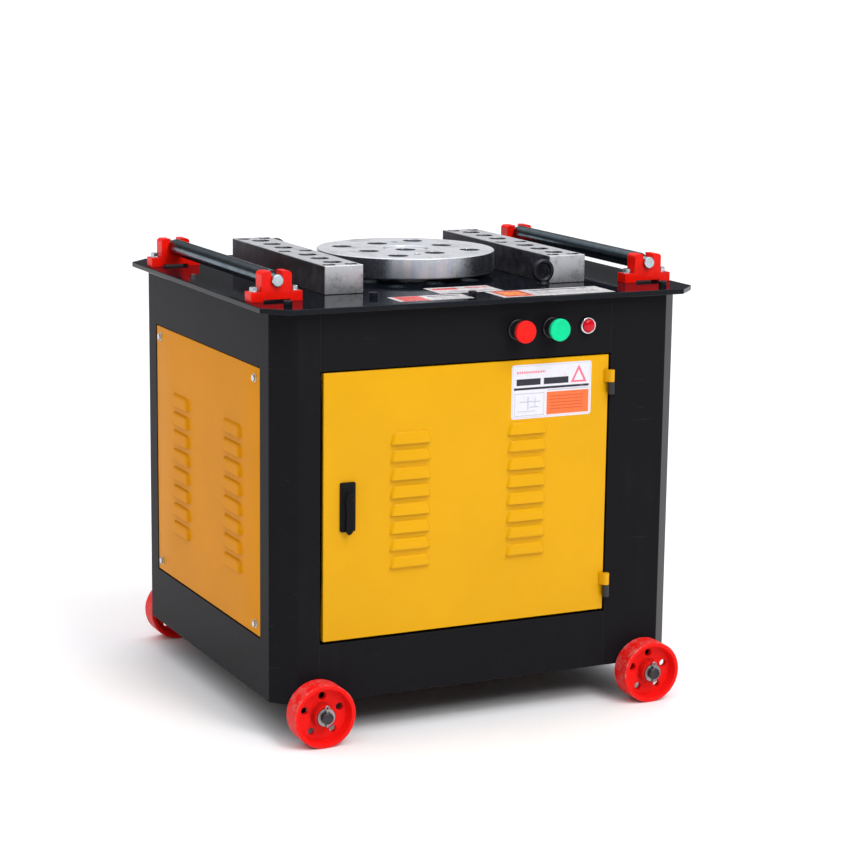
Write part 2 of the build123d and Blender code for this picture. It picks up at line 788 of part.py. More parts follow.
# ---------------------------------------------------------------- table
with BuildPart() as table_plate:
    half_x = half_width + table_overhang_x
    half_y = half_depth + table_overhang_y
    block((-half_x, -half_y, table_bottom), (half_x, half_y, table_top))
    chamfer(table_plate.edges().filter_by(Axis.Z), length=table_chamfer)
    chamfer(table_plate.faces().filter_by(Axis.Z).edges(), length=1)
    rod((0, 0, table_bottom), spindle_radius + spindle_hole_gap, table_thickness, mode=Mode.SUBTRACT)
    table_screws = [(sx * table_screw_x, sy * table_screw_y) for sx in (-1, 1) for sy in (-1, 1)]
    table_screws += [(middle_screw[0], -middle_screw[1]), (middle_screw[0], middle_screw[1]),
                     (bar_side_screw[0], -bar_side_screw[1])]
    with Locations(*[(x, y, table_bottom + table_thickness / 2) for x, y in table_screws]):
        Cylinder(screw_radius + screw_gap, table_thickness, mode=Mode.SUBTRACT)
    bar_screws = [(sx * bar_x + dx, sy * bar_screw_y) for sx in (-1, 1) for dx in (-bar_screw_x, bar_screw_x)
                  for sy in (-1, 0, 1)]
    with Locations(*[(x, y, table_bottom + table_thickness / 2) for x, y in bar_screws]):
        Cylinder(bar_bolt_radius, table_thickness, mode=Mode.SUBTRACT)
    bracket_screws = [(sx * roller_x + dx, sy * bracket_y) for sx in (-1, 1)
                      for dx in (-bracket_screw_x, bracket_screw_x) for sy in (-1, 1)]
    with Locations(*[(x, y, table_bottom + table_thickness / 2) for x, y in bracket_screws]):
        Cylinder(screw_radius, table_thickness, mode=Mode.SUBTRACT)
    eyes = [(eye_x, -eye_y), (-eye_x, eye_y)]
    with Locations(*[(x, y, table_bottom + table_thickness / 2) for x, y in eyes]):
        Cylinder(eye_thread_radius, table_thickness, mode=Mode.SUBTRACT)
save(table_plate, "table_plate")

with BuildPart() as table_labels:
    for (x, y), (width, depth) in table_label_places:
        block((x - width / 2, y - depth / 2, table_top),
              (x + width / 2, y + depth / 2, table_top + label_thickness))
    keep_clear = screw_head_radius + 2
    rod((middle_screw[0], -middle_screw[1], table_top), keep_clear, 2, mode=Mode.SUBTRACT)
save(table_labels, "table_labels")

# ---------------------------------------------------------------- hole bars
bar_sockets = [side * bar_pitch * i for side in (-1, 1) for i in (1, 2, 3)]
for side, name in ((-1, "left_hole_bar"), (1, "right_hole_bar")):
    with BuildPart() as hole_bar:
        block((side * bar_x - bar_width / 2, -bar_length / 2, table_top),
              (side * bar_x + bar_width / 2, bar_length / 2, table_top + bar_height))
        chamfer(hole_bar.edges(), length=1)
        with Locations(*[(side * bar_x, y, table_top + bar_height / 2) for y in bar_sockets]):
            Cylinder(bar_socket_radius, bar_height, mode=Mode.SUBTRACT)
        for x, y in bar_screws:
            if x * side > 0:
                rod((x, y, table_top), bar_bolt_radius + screw_gap, bar_height, mode=Mode.SUBTRACT)
                rod((x, y, table_top + bar_height - bar_head_depth), bar_head_radius + screw_gap,
                    bar_head_depth, mode=Mode.SUBTRACT)
    save(hole_bar, name)

with BuildPart() as socket_screws:
    for x, y in table_screws:
        grip = table_thickness + (gusset_height if abs(x) == table_screw_x else 0)
        turned([(0, 0), (screw_head_radius, 0), (screw_head_radius, screw_head_height - 1),
                (screw_head_radius - 1, screw_head_height), (0, screw_head_height)], (x, y, table_top))
        rod((x, y, table_top - grip - screw_thread_tail), screw_radius, grip + screw_thread_tail)
        with BuildSketch(Plane.XY.offset(table_top + screw_head_height)):
            with Locations((x, y)):
                RegularPolygon(hexagon_key, 6)
        extrude(amount=-screw_head_height / 2, mode=Mode.SUBTRACT)
        with BuildSketch(Plane.XY.offset(table_top - grip)):
            with Locations((x, y)):
                RegularPolygon(nut_radius, 6)
        extrude(amount=-nut_height)
    for x, y in bar_screws:
        seat = table_top + bar_height - bar_head_depth
        rod((x, y, seat), bar_head_radius, 2 * bar_bolt_radius)
        with BuildSketch(Plane.XY.offset(seat + 2 * bar_bolt_radius)):
            with Locations((x, y)):
                RegularPolygon(bar_key, 6)
        extrude(amount=-bar_key_depth, mode=Mode.SUBTRACT)
        rod((x, y, table_bottom), bar_bolt_radius, seat - table_bottom)
save(socket_screws, "socket_screws")

# ---------------------------------------------------------------- feed rollers and their brackets
axis_z = table_top + roller_height
roller_names = {"left": -1, "right": 1}
tube_end = bracket_y - bracket_depth / 2 - roller_end_gap
step = tube_end - journal
shaft_end = bracket_y + bracket_depth / 2 + shaft_tail

with BuildPart() as roller_brackets:
    slot_width = 2 * (roller_shaft_radius + running_gap)
    for sx in (-1, 1):
        for sy in (-1, 1):
            x, y = sx * roller_x, sy * bracket_y
            front = y - bracket_depth / 2
            block((x - bracket_base_width / 2, front, table_top),
                  (x + bracket_base_width / 2, front + bracket_depth,
                   table_top + bracket_foot + bracket_base_height))
            with BuildSketch(Plane.XZ.offset(-front)):
                with Locations((x, table_top + bracket_top / 2 + bracket_foot)):
                    RectangleRounded(bracket_block_width, bracket_top - 2 * bracket_foot, bracket_rounding)
            extrude(amount=-bracket_depth)
            with Locations((x, y, table_top + bracket_foot / 2)):
                Box(bracket_base_width - 2 * bracket_foot_width, bracket_depth, bracket_foot,
                    mode=Mode.SUBTRACT)
            rod((x, front, axis_z), slot_width / 2, bracket_depth, "Y", Mode.SUBTRACT)
            with Locations((x, y, axis_z + bracket_top / 2)):
                Box(slot_width, bracket_depth, bracket_top, mode=Mode.SUBTRACT)
    with Locations(*[(x, y, table_top + bracket_top / 2) for x, y in bracket_screws]):
        Cylinder(screw_radius + screw_gap, bracket_top, mode=Mode.SUBTRACT)
save(roller_brackets, "roller_brackets")

with BuildPart() as bracket_bolts:
    for x, y in bracket_screws:
        seat = table_top + bracket_foot + bracket_base_height
        rod((x, y, seat), screw_head_radius + 1, bracket_washer_height)
        with BuildSketch(Plane.XY.offset(seat + bracket_washer_height)):
            with Locations((x, y)):
                RegularPolygon(screw_head_radius, 6)
        extrude(amount=bracket_nut_height)
        rod((x, y, table_bottom), screw_radius, seat - table_bottom)
save(bracket_bolts, "bracket_bolts")

for name, side in roller_names.items():
    x = side * roller_x
    with BuildPart() as roller:
        turned([(roller_radius - roller_wall, -tube_end), (roller_radius - 1, -tube_end),
                (roller_radius, -tube_end + 1), (roller_radius, tube_end - 1), (roller_radius - 1, tube_end),
                (roller_radius - roller_wall, tube_end)], (x, 0, axis_z), (0, 1, 0))
    save(roller, f"{name}_roller")
    with BuildPart() as roller_shaft:
        turned([(0, -shaft_end), (roller_shaft_radius - 1, -shaft_end),
                (roller_shaft_radius, -shaft_end + 1), (roller_shaft_radius, -step),
                (roller_radius - roller_wall, -step),
                (roller_radius - roller_wall, step), (roller_shaft_radius, step),
                (roller_shaft_radius, shaft_end - 1), (roller_shaft_radius - 1, shaft_end), (0, shaft_end)],
               (x, 0, axis_z), (0, 1, 0))
    save(roller_shaft, f"{name}_roller_shaft")

# ---------------------------------------------------------------- lifting eyes
with BuildPart() as lifting_eyes:
    for x, y in eyes:
        ring_z = table_top + eye_collar_height + eye_radius - eye_rod / 2
        neck = eye_collar_height + 1
        turned([(0, 0), (eye_collar_radius, 0), (eye_collar_radius, neck - 4), (eye_rod + 1.5, neck),
                (0, neck)], (x, y, table_top))
        with Locations((x, y, ring_z)):
            Torus(eye_radius - eye_rod, eye_rod, rotation=(90, 0, 0))
        rod((x, y, table_bottom - eye_thread_tail), eye_thread_radius, table_thickness + eye_thread_tail)
save(lifting_eyes, "lifting_eyes")

# ---------------------------------------------------------------- gear train
final_centres = final_module * (pinion_teeth + wheel_teeth) / 2
first_centres = first_module * (pinion_teeth + wheel_teeth) / 2
idler_place = (final_centres, 0)
input_place = (final_centres + first_centres * cos(radians(input_turn)),
               first_centres * sin(radians(input_turn)))
motor_place = (input_place[0] - belt_centres, input_place[1])
lid_bottom = table_bottom - housing_lid
bearing_top = lid_bottom + bearing_width
cover_top = table_bottom - housing_height
final_z = lid_bottom - lid_gap - final_face    # lower face of the final gear
first_z = final_z - gear_gap - first_face      # lower face of the first gear


def gear_outline(module, teeth, turn):
    """Involute gear outline about the origin, one tooth pointing along `turn` degrees."""
    pitch = module * teeth / 2
    base = pitch * cos(radians(gear_angle))
    tip = pitch + module
    root = pitch - 1.25 * module
    involute = tan(radians(gear_angle)) - radians(gear_angle)
    half_pitch = pi / (2 * teeth) - backlash / (2 * pitch)

    def half_angle(radius):
        """Half of the tooth's angle at a radius."""
        flank = max(radius, base)
        pressure = atan2(sqrt(flank ** 2 - base ** 2), base)
        return half_pitch + involute - (tan(pressure) - pressure)

    radii = [root, max(base, root + 0.2 * module), (base + pitch) / 2 + 0.3, pitch + 0.3 * module,
             pitch + 0.7 * module, tip]
    outline = []
    for tooth in range(teeth):
        middle = radians(turn) + 2 * pi * tooth / teeth
        flank = [(r, half_angle(r)) for r in radii]
        for r, angle in flank:
            outline.append((r * cos(middle - angle), r * sin(middle - angle)))
        for r, angle in flank[::-1]:
            outline.append((r * cos(middle + angle), r * sin(middle + angle)))
    return outline


def gear(module, teeth, turn, place, low, face):
    """Add a gear to the part that is being built."""
    with BuildSketch(Plane((place[0], place[1], low))) as section:
        with BuildLine():
            Polyline(*gear_outline(module, teeth, turn), close=True)
        make_face()
    extrude(section.sketch, amount=face)


with BuildPart() as main_gear:
    gear(final_module, wheel_teeth, 0, (0, 0), final_z, final_face)
    hub_low = final_z + final_face + lid_gap / 2 + 1 - main_hub_face
    rod((0, 0, hub_low), spindle_radius + main_hub, main_hub_face)
    rod((0, 0, hub_low), spindle_radius, main_hub_face, mode=Mode.SUBTRACT)
    with PolarLocations(window_circle, window_count):
        with Locations((0, 0, final_z + final_face / 2)):
            Cylinder(window_radius, final_face, mode=Mode.SUBTRACT)
save(main_gear, "main_gear")

with BuildPart() as idler_shaft:
    pinion_turn = 180 + 180 / pinion_teeth
    gear(final_module, pinion_teeth, pinion_turn, idler_place, final_z - 2, final_face + 4)
    idler_low = cover_top - bearing_width + 1
    rod((*idler_place, idler_low), idler_radius, bearing_top - shaft_end_gap - idler_low)
save(idler_shaft, "idler_shaft")

with BuildPart() as idler_gear:
    gear(first_module, wheel_teeth, input_turn, idler_place, first_z, first_face)
    hub_low = first_z + (first_face - idler_hub_face) / 2 + 1
    rod((*idler_place, hub_low), idler_radius + idler_hub, idler_hub_face)
    rod((*idler_place, hub_low), idler_radius, idler_hub_face, mode=Mode.SUBTRACT)
save(idler_gear, "idler_gear")

pulley_half = (belt_count * belt_pitch + 6) / 2
pulley_z = cover_top - housing_lid - pulley_gap - 2 * pulley_half
with BuildPart() as input_shaft:
    gear(first_module, pinion_teeth, input_turn + 180 + 180 / pinion_teeth, input_place, first_z - 1,
         first_face + 2)
    input_low = pulley_z - 2 * shaft_end_gap
    rod((*input_place, input_low), input_radius, bearing_top - shaft_end_gap - input_low)
save(input_shaft, "input_shaft")

# ---------------------------------------------------------------- spindle, disc and bearings
disc_bottom = table_top + disc_gap
disc_top = disc_bottom + disc_thickness
with BuildPart() as spindle:
    boss_top = disc_top - boss_recess
    flange_bottom = table_top + spindle_flange_gap
    foot = cover_top - bearing_width + 1
    turned([(0, foot), (spindle_radius, foot), (spindle_radius, flange_bottom),
            (spindle_boss + spindle_flange, flange_bottom), (spindle_boss + spindle_flange, disc_bottom),
            (spindle_boss, disc_bottom), (spindle_boss, boss_top - 1.5), (spindle_boss - 1.5, boss_top),
            (socket_radius, boss_top), (socket_radius, boss_top - centre_socket_depth),
            (0, boss_top - centre_socket_depth)], (0, 0, 0))
save(spindle, "spindle")

with BuildPart() as work_disc:
    turned([(spindle_boss, disc_bottom), (disc_radius - 2, disc_bottom), (disc_radius, disc_bottom + 2),
            (disc_radius, disc_top - 1.5), (disc_radius - 1.5, disc_top), (spindle_boss + 2, disc_top),
            (spindle_boss, disc_top - 2)], (0, 0, 0))
    for circle, radius, turn, count in ((inner_circle, socket_radius, 0, 4),
                                        (outer_circle, socket_radius, 45, 4),
                                        (jack_circle, jack_radius, jack_angle, 2)):
        with PolarLocations(circle, count, start_angle=disc_rest_angle + turn):
            with Locations((0, 0, disc_bottom + disc_thickness / 2)):
                Cylinder(radius, disc_thickness, mode=Mode.SUBTRACT)
save(work_disc, "work_disc")

motor_top = pulley_z - motor_pulley_gap
motor_bottom = motor_top - motor_length
gearbox_bearings = (lid_bottom, cover_top - bearing_width)
motor_bearings = (motor_bottom, motor_top - bearing_width)
with BuildPart() as bearings:
    for place, radius, seats in (((0, 0), spindle_radius, gearbox_bearings),
                                 (idler_place, idler_radius, gearbox_bearings),
                                 (input_place, input_radius, gearbox_bearings),
                                 (motor_place, motor_shaft_radius, motor_bearings)):
        for low in seats:
            turned([(radius + running_gap, 0), (radius + bearing_wall, 0),
                    (radius + bearing_wall, bearing_width), (radius + running_gap, bearing_width)],
                   (*place, low))
save(bearings, "bearings")

# ---------------------------------------------------------------- gearbox housing
shafts = ((idler_place, idler_radius), (input_place, input_radius), ((0, 0), spindle_radius))
reach = housing_room + housing_wall
box_left = -(final_module * (wheel_teeth / 2 + 1)) - reach
box_right = final_centres + first_module * (wheel_teeth / 2 + 1) + reach
box_half = final_module * (wheel_teeth / 2 + 1) + reach
with BuildPart() as gearbox_housing:
    block((box_left, -box_half, cover_top), (box_right, box_half, table_bottom))
    fillet(gearbox_housing.edges().filter_by(Axis.Z), radius=housing_corner)
    with Locations(((box_left + box_right) / 2, 0, (cover_top + lid_bottom) / 2)):
        Box(box_right - box_left - 2 * housing_wall, 2 * (box_half - housing_wall), lid_bottom - cover_top,
            mode=Mode.SUBTRACT)
    for place, radius in shafts:
        rod((*place, lid_bottom), radius + bearing_wall, bearing_width, mode=Mode.SUBTRACT)
    rod((0, 0, lid_bottom), spindle_radius + spindle_hole_gap, housing_lid, mode=Mode.SUBTRACT)
save(gearbox_housing, "gearbox_housing")

with BuildPart() as gearbox_cover:
    block((box_left, -box_half, cover_top - housing_lid), (box_right, box_half, cover_top))
    fillet(gearbox_cover.edges().filter_by(Axis.Z), radius=housing_corner)
    for place, radius in shafts:
        rod((*place, cover_top - bearing_width), radius + bearing_wall, bearing_width, mode=Mode.SUBTRACT)
    rod((*input_place, cover_top - housing_lid), input_radius + shaft_end_gap, housing_lid,
        mode=Mode.SUBTRACT)
save(gearbox_cover, "gearbox_cover")

# ---------------------------------------------------------------- pulleys and belts
rim_over = belt_height / 2 + 1
floor_under = belt_height / 2 + groove_gap


def pulley(place, belt_line, bore):
    """A grooved pulley, its grooves a little wider and deeper than the belts."""
    profile = [(bore, 0), (belt_line + rim_over, 0)]
    for i in range(belt_count):
        middle = pulley_half + (i - (belt_count - 1) / 2) * belt_pitch
        half = belt_width / 2 + groove_gap
        profile += [(belt_line + rim_over, middle - half), (belt_line - floor_under, middle - half),
                    (belt_line - floor_under, middle + half), (belt_line + rim_over, middle + half)]
    profile += [(belt_line + rim_over, 2 * pulley_half), (bore, 2 * pulley_half)]
    turned(profile, (*place, pulley_z))


with BuildPart() as input_pulley:
    pulley(input_place, pulley_radius, input_radius)
    with Locations((*input_place, 0)):
        with PolarLocations(pulley_window_circle, pulley_window_count):
            with Locations((0, 0, pulley_z + pulley_half)):
                Cylinder(pulley_window_radius, 2 * pulley_half, mode=Mode.SUBTRACT)
save(input_pulley, "input_pulley")

with BuildPart() as motor_pulley:
    pulley(motor_place, motor_pulley_radius, motor_shaft_radius)
save(motor_pulley, "motor_pulley")


def belt_loop(offset):
    """Outline round both pulleys, `offset` outside the belt line."""
    lean = atan2(sqrt(belt_centres ** 2 - (pulley_radius - motor_pulley_radius) ** 2),
                 pulley_radius - motor_pulley_radius)
    big, small = pulley_radius + offset, motor_pulley_radius + offset
    right = Vector(*input_place)
    left = Vector(*motor_place)
    big_touch = Vector(-big * cos(lean), big * sin(lean))
    small_touch = Vector(-small * cos(lean), small * sin(lean))
    big_low, small_low = Vector(big_touch.X, -big_touch.Y), Vector(small_touch.X, -small_touch.Y)
    ThreePointArc(right + big_touch, right + Vector(big, 0), right + big_low)
    Line(right + big_low, left + small_low)
    ThreePointArc(left + small_low, left - Vector(small, 0), left + small_touch)
    Line(left + small_touch, right + big_touch)


with BuildPart() as drive_belts:
    for i in range(belt_count):
        middle = pulley_z + pulley_half + (i - (belt_count - 1) / 2) * belt_pitch
        with BuildSketch(Plane.XY.offset(middle - belt_width / 2)) as section:
            with BuildLine():
                belt_loop(belt_height / 2)
            make_face()
            with BuildLine():
                belt_loop(-belt_height / 2)
            make_face(mode=Mode.SUBTRACT)
        extrude(amount=belt_width)
save(drive_belts, "drive_belts")

# ---------------------------------------------------------------- motor
with BuildPart() as motor_body:
    rod((*motor_place, motor_bottom), motor_radius - motor_fin, motor_length)
    with Locations((*motor_place, (motor_bottom + motor_top) / 2)):
        with PolarLocations(motor_radius - motor_fin / 2 - 1, motor_fin_count):
            Box(motor_fin + 2, motor_fin_thickness, motor_length - 2 * motor_fin_end)
    plate_x = motor_place[0] - motor_foot
    for z in (motor_bottom + motor_foot_inset, motor_top - motor_foot_inset):
        block((plate_x, motor_place[1] - motor_foot_half, z - motor_foot_height / 2),
              (motor_place[0] - motor_radius / 2, motor_place[1] + motor_foot_half,
               z + motor_foot_height / 2))
    block((motor_place[0] - terminal_half, motor_place[1] - motor_radius - terminal_reach,
           motor_top - terminal_bottom),
          (motor_place[0] + terminal_half, motor_place[1] - motor_radius / 2, motor_top - terminal_top))
    rod((*motor_place, motor_bottom + motor_wall), motor_radius - motor_wall, motor_length - 2 * motor_wall,
        mode=Mode.SUBTRACT)
    rod((*motor_place, motor_bottom), motor_shaft_radius + bearing_wall, motor_length, mode=Mode.SUBTRACT)
    low = motor_bottom - fan_room
    shell = motor_radius - motor_fin + fan_cover_wall
    turned([(0, low), (shell - 5, low), (shell, low + 5), (shell, motor_bottom + motor_fin_end),
            (motor_radius - motor_fin, motor_bottom + motor_fin_end), (motor_radius - motor_fin, low + 6),
            (shell - 6, low + fan_cover_wall), (0, low + fan_cover_wall)], (*motor_place, 0))
    with Locations((*motor_place, low + fan_cover_wall / 2)):
        with PolarLocations(vent_circle, vent_count):
            Box(vent_length, vent_width, 3 * fan_cover_wall, mode=Mode.SUBTRACT)
save(motor_body, "motor_body")

with BuildPart() as motor_rotor:
    fan_low = motor_bottom - fan_room + motor_fin_end / 2
    rod((*motor_place, fan_low), motor_shaft_radius, pulley_z + 2 * pulley_half - fan_low)
    rod((*motor_place, motor_bottom + motor_wall + 10), motor_radius - motor_wall - rotor_gap,
        motor_length - 2 * motor_wall - 20)
    rod((*motor_place, fan_low), fan_hub, fan_room / 2)
    with Locations((*motor_place, fan_low + fan_room / 4)):
        with PolarLocations(fan_hub + fan_blade / 2 - 4, fan_blade_count):
            Box(fan_blade, fan_cover_wall, fan_room / 2)
save(motor_rotor, "motor_rotor")

with BuildPart() as motor_stand:
    block((plate_x - stand_plate, motor_place[1] - stand_half, motor_bottom),
          (plate_x, motor_place[1] + stand_half, motor_top))
    for y in (motor_place[1] - column_y, motor_place[1] + column_y):
        x = plate_x - stand_plate
        tube((x - column, y - column / 2, beam_top), (x, y + column / 2, table_bottom), sheet, 2)
save(motor_stand, "motor_stand")

# ---------------------------------------------------------------- control box
box_x = half_width - box_from_side
with BuildPart() as control_box:
    with Locations((box_x, box_y, beam_top + box_height / 2)):
        Box(box_width, box_depth, box_height)
        Box(box_width - 2 * skin, box_depth - 2 * skin, box_height - 2 * skin, mode=Mode.SUBTRACT)
    with Locations((box_x - box_width / 2, box_y, beam_top + box_height / 2)):
        Box(2 * box_lid_height, box_depth - 2 * box_lid_inset, box_height - 2 * box_lid_inset)
save(control_box, "control_box")

with BuildPart() as cable_gland:
    turned([(gland_bore, -gland_thread), (gland_radius, -gland_thread), (gland_radius, 0), (gland_nut, 0),
            (gland_nut, gland_length * 0.4), (gland_nut - 2, gland_length), (gland_bore, gland_length)],
           gland_place, (0, 1, 0))
save(cable_gland, "cable_gland")
print("idler at", idler_place, "input shaft at", input_place, "motor at", motor_place)
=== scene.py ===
# %% [markdown]
# # A rebar bender on wheels
# The machine is a steel cabinet with a thick table.  A motor inside turns the round disc, and pins in
# its holes bend a steel bar against the pins in the two bars of holes.  Every measured part comes in
# as a fixed frame in metres.  This lesson gives the parts their finishes, replaces pressed sheet and
# small turned parts with smoother surfaces, and sets the lights and the camera.

# %% Load the fixed frame
import json
import bmesh
import bpy
import numpy as np
from mathutils import Matrix, Vector

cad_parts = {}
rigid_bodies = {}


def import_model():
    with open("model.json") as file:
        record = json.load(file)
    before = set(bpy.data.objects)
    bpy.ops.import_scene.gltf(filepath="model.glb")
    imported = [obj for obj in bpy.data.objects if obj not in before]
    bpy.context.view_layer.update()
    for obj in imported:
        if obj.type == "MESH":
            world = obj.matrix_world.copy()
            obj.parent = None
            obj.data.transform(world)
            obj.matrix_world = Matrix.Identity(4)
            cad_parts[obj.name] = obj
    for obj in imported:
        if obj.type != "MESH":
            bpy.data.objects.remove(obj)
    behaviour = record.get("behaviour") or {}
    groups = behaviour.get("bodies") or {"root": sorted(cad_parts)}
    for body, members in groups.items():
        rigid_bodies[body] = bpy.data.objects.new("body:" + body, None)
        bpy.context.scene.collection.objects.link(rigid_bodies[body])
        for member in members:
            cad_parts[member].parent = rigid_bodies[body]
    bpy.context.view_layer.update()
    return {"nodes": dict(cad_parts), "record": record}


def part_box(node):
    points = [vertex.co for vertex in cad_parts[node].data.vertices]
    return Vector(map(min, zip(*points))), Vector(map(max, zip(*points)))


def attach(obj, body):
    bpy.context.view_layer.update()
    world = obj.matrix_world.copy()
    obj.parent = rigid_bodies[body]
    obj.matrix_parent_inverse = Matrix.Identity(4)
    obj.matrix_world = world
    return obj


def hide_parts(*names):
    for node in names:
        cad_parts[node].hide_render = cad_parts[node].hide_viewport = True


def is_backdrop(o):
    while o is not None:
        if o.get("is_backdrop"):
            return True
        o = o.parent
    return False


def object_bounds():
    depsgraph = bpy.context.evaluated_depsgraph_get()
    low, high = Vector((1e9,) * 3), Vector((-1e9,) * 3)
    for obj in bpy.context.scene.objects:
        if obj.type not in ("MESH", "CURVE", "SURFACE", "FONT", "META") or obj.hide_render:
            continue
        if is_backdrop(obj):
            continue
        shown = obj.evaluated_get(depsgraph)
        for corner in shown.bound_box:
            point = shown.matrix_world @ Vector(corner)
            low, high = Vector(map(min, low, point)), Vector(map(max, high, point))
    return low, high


for thing in list(bpy.data.objects):
    bpy.data.objects.remove(thing)
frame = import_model()
nodes = frame["nodes"]
slot_of_node = {part["node"]: part["material_slot"] for part in frame["record"]["subparts"]}

# %% [markdown]
# ## Shader maths as plain sums
# A finish is a small program that runs at every point of a surface.  It could be wired by hand, node
# by node, but then nobody can read it.  Here a socket is wrapped in a class whose + - * / add the
# Math nodes, so that the recipe for rust or dust reads like a formula.


# %% A number that varies over a surface
class Amount:
    """A socket of one material.  Arithmetic on it adds Math nodes to that material."""

    def __init__(self, finish, socket):
        self.finish, self.socket = finish, socket

    def maths(self, operation, *values):
        """The Math node with this operation, fed with these values."""
        return self.finish.node("ShaderNodeMath", {"operation": operation}, values)

    def __add__(self, other):
        return self.maths("ADD", self, other)

    def __sub__(self, other):
        return self.maths("SUBTRACT", self, other)

    def __rsub__(self, other):
        return self.maths("SUBTRACT", other, self)

    def __mul__(self, other):
        return self.maths("MULTIPLY", self, other)

    def __truediv__(self, other):
        return self.maths("DIVIDE", self, other)

    def __abs__(self):
        return self.maths("ABSOLUTE", self)

    def beat(self, count):
        """The part after the point of value * count: a saw wave with `count` teeth from 0 to 1."""
        return (self * count).maths("FRACT", self * count)

    __radd__ = __add__
    __rmul__ = __mul__


# %% A finish and its tools
class Finish:
    """One material: its glossy shader, the place on the object, and the patterns it is mixed from."""

    def __init__(self, name, **constants):
        self.name, self.material = name, bpy.data.materials.new(name)
        self.material.use_nodes = True
        self.tree = self.material.node_tree
        self.tree.nodes.clear()
        self.shader = self.tree.nodes.new("ShaderNodeBsdfPrincipled")
        output = self.tree.nodes.new("ShaderNodeOutputMaterial")
        self.tree.links.new(self.shader.outputs["BSDF"], output.inputs["Surface"])
        for socket, value in constants.items():
            self.set(socket.replace("_", " "), value)
        self.place = self.node("ShaderNodeTexCoord", out="Object")

    def node(self, kind, settings=(), values=(), out=0):
        """Add a node: its settings first (a ramp's stops among them), then its sockets' values."""
        made = self.tree.nodes.new(kind)
        for key, value in dict(settings).items():
            if key == "stops":
                ramp = made.color_ramp.elements
                while len(ramp) < len(value):
                    ramp.new(0.5)
                for stop, (position, colour) in zip(ramp, value):
                    stop.position, stop.color = position, (*colour, 1)
            else:
                setattr(made, key, value)
        for key, value in (values.items() if isinstance(values, dict) else enumerate(values)):
            self.feed(made.inputs[key], value)
        return Amount(self, made.outputs[out])

    def feed(self, socket, value):
        """Give a socket a number, a colour, a vector or a link."""
        if isinstance(value, Amount):
            self.tree.links.new(value.socket, socket)
        elif socket.type == "RGBA" and len(value) == 3:
            socket.default_value = (*value, 1)
        else:
            socket.default_value = value

    def set(self, socket, value):
        """Set one socket of the glossy shader."""
        self.feed(self.shader.inputs[socket], value)

    def moved(self, scale=(1, 1, 1), shift=(0, 0, 0), place=None):
        """The place on the object, stretched and shifted."""
        return self.node("ShaderNodeMapping", {}, {"Vector": place or self.place, "Scale": scale,
                                                   "Location": shift})

    def noise(self, scale, detail=3.0, rough=0.55, stretch=(1, 1, 1), shift=(0, 0, 0), place=None):
        """Clouds from 0 to 1, about `scale` blobs to the metre along each stretched axis."""
        return self.node("ShaderNodeTexNoise", {},
                         {"Vector": self.moved(stretch, shift, place=place), "Scale": scale,
                          "Detail": detail, "Roughness": rough})

    def rise(self, value, low, high):
        """0 below `low`, 1 above `high`, and a smooth S between them."""
        return self.node("ShaderNodeMapRange", {"interpolation_type": "SMOOTHSTEP"},
                         {"Value": value, "From Min": low, "From Max": high})

    def mix(self, share, first, second):
        """The first colour where share is 0, the second where it is 1."""
        return self.node("ShaderNodeMix", {"data_type": "RGBA"}, {0: share, 6: first, 7: second}, 2)

    def along(self):
        """The place on the object as three numbers: x, y and z in metres."""
        parts = self.node("ShaderNodeSeparateXYZ", {}, [self.place])
        split = parts.socket.node
        return [Amount(self, socket) for socket in split.outputs]

    def radius(self, centre=(0, 0, 0), flat=(1, 1, 0)):
        """Distance from an axis through `centre`: the length of the offset, its axis share dropped."""
        offset = self.moved(flat, tuple(-c * f for c, f in zip(centre, flat)))
        return self.node("ShaderNodeVectorMath", {"operation": "LENGTH"}, [offset], "Value")

    def facing(self, axis):
        """How far the surface faces along an axis: 1 with it, -1 against it."""
        normal = self.node("ShaderNodeNewGeometry", out="True Normal")
        return self.node("ShaderNodeVectorMath", {"operation": "DOT_PRODUCT"}, [normal, axis], "Value")

    def rounded(self, radius):
        """The surface's direction as if its edges had this radius."""
        return self.node("ShaderNodeBevel", {"samples": 4}, {"Radius": radius})

    def edges(self, rounded):
        """1 on edges and 0 on flats: how far the rounded direction leans from the flat one."""
        normal = self.node("ShaderNodeNewGeometry", out="Normal")
        straight = self.node("ShaderNodeVectorMath", {"operation": "DOT_PRODUCT"}, [rounded, normal],
                             "Value")
        return self.rise(1 - straight, 0.01, 0.12)

    def inside(self, value, low, high, soft=0.0002):
        """1 between low and high and 0 outside: one step up times one step down."""
        return self.rise(value, low - soft, low + soft) * self.rise(value, high + soft, high - soft)

    def relief(self, height, depth, normal=None):
        """Bumps: a height from 0 to 1 that stands for `depth` metres."""
        values = {"Height": height, "Distance": depth, "Strength": 1.0}
        if normal:
            values["Normal"] = normal
        return self.node("ShaderNodeBump", {}, values)


finishes = {}
print("tools for finishes are ready")

# %% [markdown]
# ## Gloss paint on sheet steel
# Cabinet, table, door and covers are sprayed.  Spray paint dries with a faint orange-peel ripple a
# few millimetres across, collects dust and fine scratches, and wears to dark steel on the edges.
# One recipe serves every colour: the ripple is a bump, dust lightens and dulls, and wear follows the
# edges, which are found by comparing a rounded direction of the surface with the flat one.


